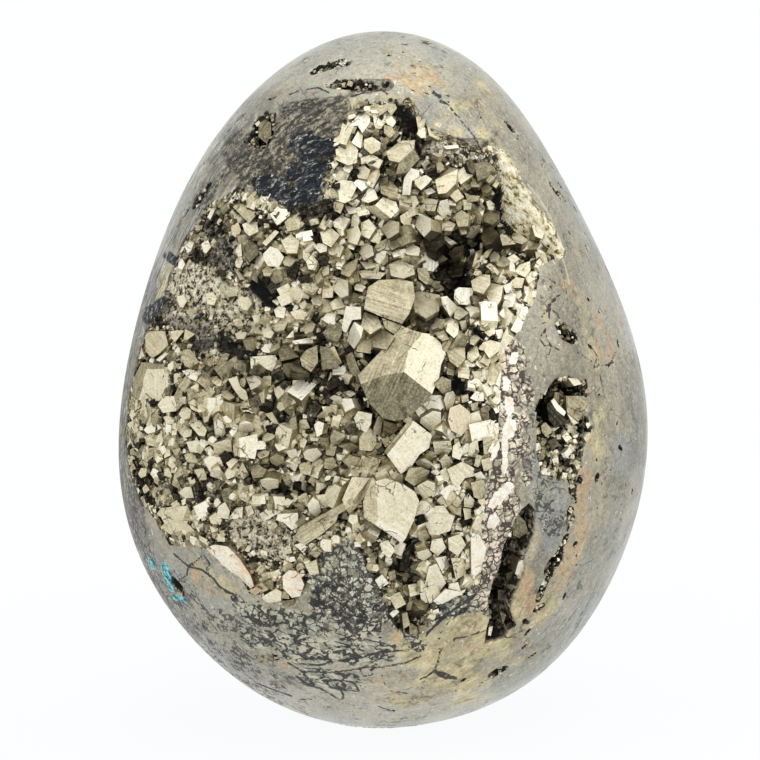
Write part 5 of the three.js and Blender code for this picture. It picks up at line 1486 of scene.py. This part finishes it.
# Materials
class Nodes:
    """A material's node tree, with short ways to add and join nodes."""

    def __init__(self, name):
        self.material = bpy.data.materials.new(name)
        self.material.use_nodes = True
        self.tree = self.material.node_tree
        self.shader = self.tree.nodes["Principled BSDF"]
        self.places = self.tree.nodes.new("ShaderNodeTexCoord").outputs["Object"]

    def add(self, kind, **settings):
        node = self.tree.nodes.new(kind)
        for key, value in settings.items():
            setattr(node, key, value)
        return node

    def feed(self, socket, value):
        if isinstance(value, bpy.types.NodeSocket):
            self.tree.links.new(value, socket)
        else:
            socket.default_value = value

    def stretched(self, scale, turn=(0, 0, 0), vector=None):
        turned = self.add("ShaderNodeMapping")
        self.feed(turned.inputs["Vector"], vector or self.places)
        turned.inputs["Rotation"].default_value = [radians(angle) for angle in turn]
        node = self.add("ShaderNodeMapping")
        self.feed(node.inputs["Vector"], turned.outputs["Vector"])
        node.inputs["Scale"].default_value = scale
        return node.outputs["Vector"]

    def value_of(self, name):
        return self.add("ShaderNodeAttribute", attribute_name=name).outputs["Fac"]

    def noise(self, scale, detail=3.0, roughness=0.55, vector=None):
        node = self.add("ShaderNodeTexNoise")
        self.feed(node.inputs["Vector"], vector or self.places)
        node.inputs["Scale"].default_value = scale
        node.inputs["Detail"].default_value = detail
        node.inputs["Roughness"].default_value = roughness
        return node.outputs["Fac"]

    def cells(self, scale, feature="DISTANCE_TO_EDGE", vector=None):
        node = self.add("ShaderNodeTexVoronoi", feature=feature)
        self.feed(node.inputs["Vector"], vector or self.places)
        node.inputs["Scale"].default_value = scale
        return node.outputs["Distance"]

    def math(self, operation, *values):
        node = self.add("ShaderNodeMath", operation=operation)
        for socket, value in zip(node.inputs, values):
            self.feed(socket, value)
        return node.outputs[0]

    def times(self, *values):
        result = values[0]
        for value in values[1:]:
            result = self.math("MULTIPLY", result, value)
        return result

    def most(self, *values):
        result = values[0]
        for value in values[1:]:
            result = self.math("MAXIMUM", result, value)
        return result

    def between(self, value, low, high, start=0.0, end=1.0):
        node = self.add("ShaderNodeMapRange", interpolation_type="SMOOTHSTEP")
        for name, setting in zip(("Value", "From Min", "From Max", "To Min", "To Max"),
                                 (value, low, high, start, end)):
            self.feed(node.inputs[name], setting)
        return node.outputs["Result"]

    def mix(self, share, first, second, blend="MIX"):
        node = self.add("ShaderNodeMix", data_type="RGBA", blend_type=blend)
        self.feed(node.inputs["Factor"], share)
        self.feed(node.inputs[6], first if isinstance(first, bpy.types.NodeSocket) else (*first, 1))
        self.feed(node.inputs[7], second if isinstance(second, bpy.types.NodeSocket) else (*second, 1))
        return node.outputs[2]

    def ramp(self, value, *stops):
        node = self.add("ShaderNodeValToRGB")
        self.feed(node.inputs["Fac"], value)
        points = node.color_ramp.elements
        while len(points) < len(stops):
            points.new(0.5)
        for point, (place, colour) in zip(points, stops):
            point.position = place
            point.color = (*colour, 1)
        return node.outputs["Color"]

    def warped(self, scale, amount):
        node = self.add("ShaderNodeTexNoise")
        self.feed(node.inputs["Vector"], self.places)
        node.inputs["Scale"].default_value = scale
        shift = self.add("ShaderNodeVectorMath", operation="SCALE")
        self.feed(shift.inputs[0], node.outputs["Color"])
        shift.inputs["Scale"].default_value = amount
        total = self.add("ShaderNodeVectorMath", operation="ADD")
        self.feed(total.inputs[0], self.places)
        self.feed(total.inputs[1], shift.outputs["Vector"])
        return total.outputs["Vector"]

    def bump(self, height, distance, strength=1.0, normal=None):
        node = self.add("ShaderNodeBump")
        node.inputs["Strength"].default_value = strength
        node.inputs["Distance"].default_value = distance
        self.feed(node.inputs["Height"], height)
        if normal:
            self.feed(node.inputs["Normal"], normal)
        return node.outputs["Normal"]

    # Patches of noise, from none where it is low to full where it is high
    def patches(self, scale, low, high, detail=3.0, roughness=0.55, start=0.0, end=1.0):
        return self.between(self.noise(scale, detail, roughness), low, high, start, end)

    # Noise drawn out upwards, and then turned about the axis that runs from front to back
    def fibrous(self, across, along, turn, roughness, bend=None):
        vector = self.warped(*bend) if bend else None
        return self.noise(1, 5, roughness, self.stretched((across, across, along), (0, turn, 0), vector))

    # A value moved up and down by a pattern
    def swayed(self, value, pattern, amount):
        return self.math("MULTIPLY_ADD", self.math("SUBTRACT", pattern, 0.5), amount, value)

    # A zone's value broken up by noise, so that its edge is ragged
    def ragged(self, name, scale, amount, low=0.4, high=0.7, vector=None):
        wavy = self.between(self.noise(scale, 5, 0.65, vector), 0.30, 0.70)
        stray = self.math("MULTIPLY_ADD", wavy, amount, -0.5 * amount)
        return self.between(self.math("ADD", self.value_of(name), stray), low, high)

    # Lines along the borders of cells, as wide as asked
    def lines(self, scale, width, vector):
        apart = self.cells(scale, vector=vector)
        return self.between(apart, self.times(width, 0.5), width, 1, 0)

    # The same, wide in some patches and thin in others
    def uneven_lines(self, scale, width, vector, patches):
        return self.lines(scale, self.times(self.patches(*patches), width), vector)


def polished_ore():
    n = Nodes("polished_ore")
    # mottled grey, olive and beige ore
    olive, beige, grey = (0.250, 0.233, 0.174), (0.425, 0.390, 0.286), (0.320, 0.318, 0.262)
    marbled = n.noise(1, 6, 0.62, n.stretched((170, 170, 70), (0, -8, 0), n.warped(60, 0.006)))
    colour = n.mix(n.between(marbled, 0.36, 0.62), olive, beige)
    colour = n.mix(n.patches(70, 0.52, 0.62, 5, 0.6), colour, grey)
    # paler ore in the pale zones, painted reflection of the bright surroundings near the top and bottom
    light = n.mix(marbled, (0.42, 0.41, 0.33), (0.70, 0.68, 0.57))
    colour = n.mix(n.times(n.value_of("pale"), 0.62), colour, light)
    dusk = n.mix(marbled, (0.040, 0.040, 0.038), (0.20, 0.195, 0.165))
    colour = n.mix(n.times(n.value_of("dusky"), 0.85), colour, dusk)
    for scale, low, tint in ((1100, 0.52, (0.66, 0.61, 0.47)), (900, 0.53, (0.130, 0.122, 0.098))):
        colour = n.mix(n.times(n.patches(scale, low, 0.62, 6, 0.8), 0.32), colour, tint)
    tan = n.ragged("tan", 1, 1.2, 0.15, 1.0, n.stretched((260, 260, 160), (0, -20, 0)))
    tans = n.ramp(n.fibrous(420, 260, -60, 0.7, (200, 0.003)),
                  (0.38, (0.27, 0.25, 0.165)), (0.48, (0.51, 0.43, 0.225)), (0.62, (0.74, 0.64, 0.37)))
    colour = n.mix(n.times(tan, 0.9), colour, tans)
    for name, low, high, across, along, strength, scale, dark, light in (
        ("warm", 0.40, 1.20, 520, 150, 0.85, 1100, (0.34, 0.225, 0.115), (0.68, 0.50, 0.30)),
        ("bluish", 0.35, 1.15, 420, 200, 0.75, 800, (0.19, 0.205, 0.20), (0.44, 0.45, 0.42)),
    ):
        stain = n.ragged(name, 1, 1.4, low, high, n.stretched((across, across, along), (0, -14, 0)))
        colour = n.mix(n.times(stain, strength), colour, n.mix(n.noise(scale, 4), dark, light))

    grit = n.noise(3000, 5, 0.85)
    colour = n.mix(n.between(grit, 0.50, 0.62, 0, 0.4), colour, (0.13, 0.125, 0.10))
    colour = n.mix(n.between(grit, 0.50, 0.38, 0, 0.3), colour, (0.74, 0.70, 0.58))

    # fine streaks that follow the turning of the egg
    streaks = n.fibrous(2400, 260, -27, 0.7, (500, 0.0008))
    grain = n.times(n.math("MULTIPLY_ADD", n.value_of("streaked"), 0.95, 0.12),
                    n.patches(240, 0.36, 0.62, 4, 0.6, 0.3, 1.2))
    colour = n.mix(n.times(n.between(streaks, 0.49, 0.57), grain), colour, (0.050, 0.053, 0.056))
    colour = n.mix(n.times(n.between(streaks, 0.45, 0.36), grain), colour, (0.66, 0.64, 0.56))

    # veins: those drawn by hand, and nets between them
    line_tone = (0.034, 0.035, 0.037)
    crooked = n.warped(1300, 0.0015)
    stray = n.math("MULTIPLY_ADD", n.noise(1300, 4, 0.7), 2.6, -1.3)
    veins = n.between(n.math("ADD", n.value_of("vein"), stray), 0.65, 1.25, 1, 0)
    net = n.times(n.uneven_lines(980, 0.145, crooked, (500, 0.36, 0.64, 4, 0.7, 0.3, 2.0)),
                  n.ragged("net", 400, 0.8, 0.25, 0.5))
    flat = n.times(n.uneven_lines(700, 0.11, n.stretched((0.62, 0.62, 1.7), (0, 0, 0), crooked),
                                  (300, 0.32, 0.64, 3, 0.7, 0.35, 1.5)),
                   n.ragged("flat_net", 300, 0.8, 0.25, 0.5))
    fine = n.times(n.uneven_lines(1250, 0.13, n.stretched((0.8, 0.8, 1.25), (0, -30, 0), crooked),
                                  (450, 0.38, 0.66, 3, 0.7, 0.0, 1.6)),
                   n.ragged("fine_net", 400, 0.8, 0.25, 0.6), 0.85)
    hair = n.times(n.lines(170, 0.010, n.warped(260, 0.005)), n.patches(140, 0.52, 0.60), 0.6)
    lines = n.most(veins, net, flat, fine, hair)
    speckled = n.ragged("speckled", 500, 0.9, 0.25, 0.6)
    granular = n.mix(0.5, mosaic(n, 1400, 0.70), (0.36, 0.365, 0.28))
    web = n.uneven_lines(1150, 0.11, crooked, (650, 0.38, 0.62, 4, 0.7, 0.4, 2.0))
    colour = n.mix(speckled, colour, n.mix(n.times(web, 0.92), granular, (0.040, 0.041, 0.040)))
    cell = n.mix(n.patches(700, 0.43, 0.57, 5, 0.75), (0.24, 0.25, 0.20), (0.64, 0.61, 0.47))
    celled = n.math("SUBTRACT", n.most(n.value_of("net"), n.value_of("flat_net")), n.value_of("speckled"))
    colour = n.mix(n.between(celled, 0.1, 0.8, 0, 0.75), colour, cell)
    colour = n.mix(n.times(lines, 0.92), colour, line_tone)
    pale = n.between(n.math("ADD", n.value_of("pale_line"), n.times(stray, 0.4)), 0.6, 1.4, 1, 0)
    colour = n.mix(n.times(pale, 0.7), colour, (0.66, 0.58, 0.40))

    # the crackled ridge and its pale flakes
    plate = n.mix(n.patches(900, 0.44, 0.56, 5, 0.7), (0.82, 0.72, 0.55), (0.38, 0.35, 0.27))
    plate = n.mix(n.times(n.patches(2200, 0.5, 0.60), 0.55), plate, (0.22, 0.20, 0.15))
    seams = n.uneven_lines(1150, 0.115, n.warped(1000, 0.0014), (800, 0.36, 0.64, 4, 0.7, 0.5, 1.8))
    crackle = n.ragged("crackle", 420, 0.8, 0.30, 0.55)
    colour = n.mix(crackle, colour, plate)
    flake = n.ragged("flake", 1000, 0.8, 0.35, 0.6)
    cream = n.mix(n.patches(900, 0.5, 0.6, 4), (0.96, 0.91, 0.80), (0.92, 0.78, 0.62))
    colour = n.mix(flake, colour, cream)
    colour = n.mix(n.times(seams, crackle, n.between(flake, 0, 1, 1, 0.15)), colour, (0.090, 0.068, 0.058))

    # pinholes, and bright specks painted as glints
    holes = n.between(n.cells(520, "F1", n.warped(900, 0.0006)), 0.05, 0.11, 1, 0)
    holes = n.times(holes, n.patches(260, 0.50, 0.56))
    colour = n.mix(holes, colour, (0.02, 0.018, 0.015))
    glint_specks = n.between(n.cells(640, "F1", n.stretched((1, 1, 1), (20, 40, 10))), 0.04, 0.09, 1, 0)
    glint_specks = n.times(glint_specks, n.patches(260, 0.52, 0.58))
    colour = n.mix(glint_specks, colour, (0.88, 0.84, 0.70))

    # etched patches
    etched = n.ragged("etched", 300, 0.9, 0.30, 0.75)
    coarse = n.times(n.fibrous(1900, 620, -52, 0.75, (700, 0.001)), 0.55)
    coarse = n.math("MULTIPLY_ADD", n.noise(2300, 4, 0.8), 0.45, coarse)
    rugged = n.ramp(coarse, (0.46, (0.014, 0.014, 0.014)), (0.50, (0.07, 0.066, 0.054)),
                    (0.54, (0.27, 0.245, 0.175)), (0.60, (0.56, 0.50, 0.35)))
    colour = n.mix(n.times(etched, 0.9), colour, rugged)

    # the insides of openings: crystals too small to model, with painted shade where they lie deep, and
    # painted shade in the pits
    opened = n.between(n.value_of("depth"), 0.12, 0.6)
    slope = n.between(n.most(n.value_of("net"), n.value_of("speckled")), 0.35, 0.7)
    hidden = n.times(opened, n.math("SUBTRACT", 1.0, slope))
    # near black where deep: painted shade
    broken = n.mix(n.value_of("deep"), mosaic(n, 2400, 0.42), (0.010, 0.009, 0.006))
    colour = n.mix(hidden, colour, broken)
    ragged_pit = n.math("MULTIPLY_ADD", n.patches(1500, 0.3, 0.7, 4, 0.7), 0.7, n.value_of("pit"))
    pit = n.between(ragged_pit, 0.70, 0.95)
    pitted = n.ramp(n.noise(2300, 3), (0.50, (0.008, 0.007, 0.005)), (0.62, (0.04, 0.033, 0.020)),
                    (0.74, (0.50, 0.42, 0.26)))
    colour = n.mix(pit, colour, pitted)
    # painted shade deep in the pits
    colour = n.mix(n.times(pit, n.value_of("deep")), colour, (0.006, 0.006, 0.005))

    # the brown fibres above the hollow, the golden ledge and the soot
    matrix = n.ragged("matrix", 700, 0.9, 0.30, 0.6)
    fibres = n.ramp(n.fibrous(2600, 900, 70, 0.75, (700, 0.001)), (0.43, (0.015, 0.012, 0.006)),
                    (0.49, (0.09, 0.07, 0.035)), (0.54, (0.36, 0.30, 0.17)), (0.60, (0.85, 0.77, 0.55)))
    colour = n.mix(matrix, colour, fibres)
    gold = n.ragged("gold", 800, 0.8, 0.30, 0.5)
    glitter = n.ramp(n.fibrous(1700, 800, 40, 0.75), (0.38, (0.10, 0.07, 0.03)), (0.43, (0.52, 0.43, 0.22)),
                     (0.50, (0.88, 0.80, 0.54)), (0.60, (1.0, 0.97, 0.84)))
    colour = n.mix(gold, colour, glitter)
    soot = n.times(n.ragged("soot", 500, 1.3, 0.30, 0.60), n.between(n.value_of("soot"), 0.05, 0.35))
    sooty = n.ramp(n.fibrous(2200, 900, -60, 0.75, (900, 0.001)), (0.46, (0.008, 0.010, 0.014)),
                   (0.53, (0.028, 0.034, 0.044)), (0.58, (0.12, 0.125, 0.12)), (0.63, (0.62, 0.60, 0.48)))
    colour = n.mix(soot, colour, sooty)
    blue_green = n.ragged("blue_green", 1500, 0.7, 0.35, 0.55)
    mineral = n.ramp(n.noise(1900, 4, 0.7), (0.40, (0.008, 0.030, 0.034)), (0.46, (0.030, 0.24, 0.29)),
                     (0.60, (0.34, 0.74, 0.76)))
    colour = n.mix(n.times(blue_green, n.between(pit, 0, 0.6, 1, 0.1)), colour, mineral)
    n.feed(n.shader.inputs["Base Color"], colour)

    dull = n.most(soot, hidden, blue_green, pit, n.times(etched, 0.6), n.times(n.value_of("dusky"), 0.9))
    n.feed(n.shader.inputs["Metallic"], n.between(dull, 0, 1, 0.78, 0.3))
    worn = n.patches(260, 0.3, 0.7, 3, 0.55, 0.22, 0.34)
    n.feed(n.shader.inputs["Roughness"], n.math("MULTIPLY_ADD", n.most(dull, lines, gold), 0.3, worn))
    n.shader.inputs["Specular Tint"].default_value = (0.90, 0.93, 0.96, 1)
    n.shader.inputs["Specular IOR Level"].default_value = 0.3

    height = n.math("MULTIPLY_ADD", streaks, 0.06, n.times(n.most(veins, holes), -1.0))
    normal = n.bump(height, 0.00005, 0.35)
    broken_up = [n.between(n.value_of(name), 0.3, 0.6) for name in ("gold", "matrix", "soot", "etched")]
    uneven = n.most(hidden, n.times(n.value_of("crackle"), 0.25), *broken_up)
    uneven = n.times(n.noise(1300, 4, 0.65), uneven)
    n.feed(n.shader.inputs["Normal"], n.bump(uneven, 0.0008, 0.9, normal))
    return n.material


# Tiny crystals too small to model: cells of their own brightness, with painted shade along their borders
def mosaic(n, scale, middle):
    vector = n.warped(1500, 0.0003)
    grains = n.add("ShaderNodeTexVoronoi", feature="F1")
    n.feed(grains.inputs["Vector"], vector)
    grains.inputs["Scale"].default_value = scale
    split = n.add("ShaderNodeSeparateColor")
    n.feed(split.inputs["Color"], grains.outputs["Color"])
    tone = n.math("MULTIPLY_ADD", split.outputs[0], 0.9, middle - 0.9)
    tone = n.math("MULTIPLY_ADD", n.noise(700, 3), 0.9, tone)
    tone = n.swayed(tone, n.noise(4500, 2), 0.5)
    # painted shade in the gaps between the tiny crystals
    seams = n.between(n.cells(scale, vector=vector), 0.02, 0.10, 1, 0)
    colour = n.ramp(tone, (0.0, (0.010, 0.009, 0.007)), (0.30, (0.045, 0.038, 0.024)),
                    (0.48, (0.26, 0.225, 0.140)), (0.64, (0.60, 0.54, 0.37)), (0.85, (0.92, 0.87, 0.72)))
    return n.mix(n.times(seams, 0.85), colour, (0.020, 0.016, 0.010))


def fine_crystals():
    n = Nodes("fine_crystals")
    grit = n.ramp(n.noise(1700, 6, 0.8, n.warped(900, 0.0006)), (0.43, (0.012, 0.012, 0.011)),
                  (0.46, (0.12, 0.11, 0.085)), (0.485, (0.54, 0.475, 0.325)), (0.54, (0.84, 0.76, 0.55)),
                  (0.61, (1.0, 0.97, 0.82)))
    ground = n.mix(n.ragged("rock", 900, 0.8, 0.25, 0.5), mosaic(n, 2300, 0.50), grit)
    # near black: painted shade where the bed lies deep, and soot
    colour = n.mix(n.between(n.value_of("clear_of_shade_and_soot"), 0.1, 0.8), (0.010, 0.010, 0.009), ground)
    n.feed(n.shader.inputs["Base Color"], colour)
    n.shader.inputs["Metallic"].default_value = 0.7
    n.feed(n.shader.inputs["Roughness"], n.patches(1200, 0.3, 0.7, 3, 0.55, 0.3, 0.55))
    n.feed(n.shader.inputs["Normal"], n.bump(n.noise(2300, 4, 0.7), 0.0008, 0.8))
    return n.material


def pyrite():
    n = Nodes("pyrite_faces")
    across = n.add("ShaderNodeCombineXYZ")
    n.feed(across.inputs["X"], n.value_of("stripes"))
    stripes = n.between(n.noise(2.6, 5, 0.75, across.outputs["Vector"]), 0.32, 0.68)
    tone = n.swayed(n.value_of("tone"), n.noise(900, 5, 0.7), 0.45)
    tone = n.swayed(tone, stripes, n.patches(300, 0.38, 0.62, 2, 0.55, 0.03, 0.30))
    tone = n.swayed(tone, n.noise(3800, 4, 0.8), 0.75)
    colour = n.ramp(tone, (0.0, (0.010, 0.010, 0.008)), (0.12, (0.036, 0.034, 0.025)),
                    (0.30, (0.195, 0.172, 0.108)), (0.48, (0.435, 0.380, 0.240)),
                    (0.64, (0.670, 0.600, 0.405)), (0.82, (0.840, 0.775, 0.580)), (1.0, (0.96, 0.92, 0.78)))
    blush = n.times(n.value_of("blush"), n.patches(800, 0.46, 0.60, 4, 0.7), 0.6)
    colour = n.mix(blush, colour, (0.86, 0.56, 0.36))
    cracks = n.times(n.lines(520, 0.035, n.warped(1100, 0.0009)), n.patches(420, 0.54, 0.61))
    flaws = n.patches(4200, 0.58, 0.66, 3, 0.7)
    colour = n.mix(n.most(n.times(flaws, 0.4), n.times(cracks, 0.8)), colour, (0.075, 0.062, 0.038))
    # painted shade: each crystal darkens towards its foot at the bed, and picked crystals towards the back
    # of their sides
    foot_shade = n.swayed(n.value_of("shade"), n.noise(2400, 3), 0.5)
    colour = n.mix(n.between(foot_shade, 0.10, 0.35), (0.030, 0.025, 0.015), colour)
    n.feed(n.shader.inputs["Base Color"], colour)
    n.shader.inputs["Metallic"].default_value = 0.85
    n.shader.inputs["Specular Tint"].default_value = (0.6, 0.58, 0.5, 1)
    n.feed(n.shader.inputs["Roughness"], n.patches(800, 0.3, 0.7, 3, 0.55, 0.30, 0.50))
    height = n.math("MULTIPLY_ADD", stripes, 0.5, n.times(n.noise(2400, 3), 0.5))
    n.feed(n.shader.inputs["Normal"], n.bump(height, 0.00012, 0.6))
    return n.material


def make_floor():
    deselect()
    bpy.ops.mesh.primitive_plane_add(size=8)
    floor = bpy.context.object
    floor.name = "floor"
    n = Nodes("white_floor")
    paper = n.mix(n.patches(30, 0.3, 0.7, 2), (0.045, 0.045, 0.045), (0.05, 0.05, 0.051))
    n.feed(n.shader.inputs["Base Color"], paper)
    n.shader.inputs["Emission Color"].default_value = (0.972, 0.978, 0.988, 1)
    n.shader.inputs["Emission Strength"].default_value = 0.96
    n.shader.inputs["Roughness"].default_value = 0.9
    n.shader.inputs["Specular IOR Level"].default_value = 0.0
    floor.data.materials.append(n.material)


# A light tent: bright all round, a little dimmer towards the eye
def make_light():
    scene = bpy.context.scene
    scene.view_settings.view_transform = "Standard"
    world = bpy.data.worlds.new("studio")
    scene.world = world
    world.use_nodes = True
    tree = world.node_tree
    background = tree.nodes["Background"]
    background.inputs["Color"].default_value = (0.985, 0.99, 1.0, 1)
    direction = tree.nodes.new("ShaderNodeTexCoord").outputs["Generated"]
    product = tree.nodes.new("ShaderNodeMath")
    product.operation = "MULTIPLY"
    tree.links.new(product.outputs[0], background.inputs["Strength"])
    # for two ways: how near to it the light starts to change and is changed, and its strengths there
    for side, way, *settings in (
        (0, (-0.1, -0.95, 0.0), 0.55, 0.98, 1.05, 0.85), (1, (0.35, -0.35, 0.85), 0.35, 0.95, 1.0, 1.5),
    ):
        towards = tree.nodes.new("ShaderNodeVectorMath")
        towards.operation = "DOT_PRODUCT"
        tree.links.new(direction, towards.inputs[0])
        towards.inputs[1].default_value = Vector(way).normalized()
        span = tree.nodes.new("ShaderNodeMapRange")
        span.interpolation_type = "SMOOTHSTEP"
        tree.links.new(towards.outputs["Value"], span.inputs["Value"])
        for name, value in zip(("From Min", "From Max", "To Min", "To Max"), settings):
            span.inputs[name].default_value = value
        tree.links.new(span.outputs["Result"], product.inputs[side])


def make_camera():
    camera = bpy.data.cameras.new("camera")
    camera.sensor_width = 36
    camera.lens = 36 * FOCUS / PICTURE
    camera.clip_start = 0.01
    eye = bpy.data.objects.new("camera", camera)
    eye.location = EYE * MM
    eye.rotation_euler = (pi / 2 - EYE_TILT, 0, 0)
    bpy.context.scene.collection.objects.link(eye)
    bpy.context.scene.camera = eye


make_camera()
make_light()
make_floor()
ore, crystal_face = polished_ore(), pyrite()
make_body(ore)
make_bed("druse_bed", front_hollow, crust_outline, 0.8, 0.28, fine_crystals())

forms = [Form(cuts) for cuts in CUTS]
dice = np.random.default_rng(11)
level_faces = single_groups(LEVEL_FACES)
druse = GROWN_CRYSTALS + single_groups(SINGLE_FACES)
faces_heap(druse, front_hollow, dice).make("picked_crystals", crystal_face, "druse_crust")
faces_heap(level_faces, front_hollow, dice, level=True).make("level_crystals", crystal_face)
druse = druse + level_faces
taken = np.zeros((0, 3))
for name, kind in KINDS.items():
    heap, taken = scattered(front_hollow, crust_outline, taken, druse, kind, dice, forms)
    heap.make(name, crystal_face)

flecked = map_places(FLECKED_EDGE)
heap, _ = scattered(front_hollow, flecked, np.zeros((0, 3)), [], FLECK_KIND, dice, forms)
heap.make("flecks", crystal_face)

for name, node, entries, hollow, kind in (
    ("vug_cluster", "vug_crystals", VUG_FACES, vug, VUG_KIND),
    ("cleft_cluster", "cleft_crystals", CLEFT_FACES, cleft, CLEFT_KIND),
):
    groups = single_groups(entries)
    faces_heap(groups, hollow, dice, 1.2).make(name, crystal_face, node)
    heap, _ = scattered(hollow, hollow.outline, np.zeros((0, 3)), groups, kind, dice, forms)
    heap.make(name + "_grains", crystal_face)

open_pits = [pit for pit in PITS + SMALL_PITS if pit[2] * pit[3] > 0.9 and pit is not BLUE_PIT]
pit_grains(open_pits, dice, forms).make("pit_grains", crystal_face)

bpy.context.view_layer.update()
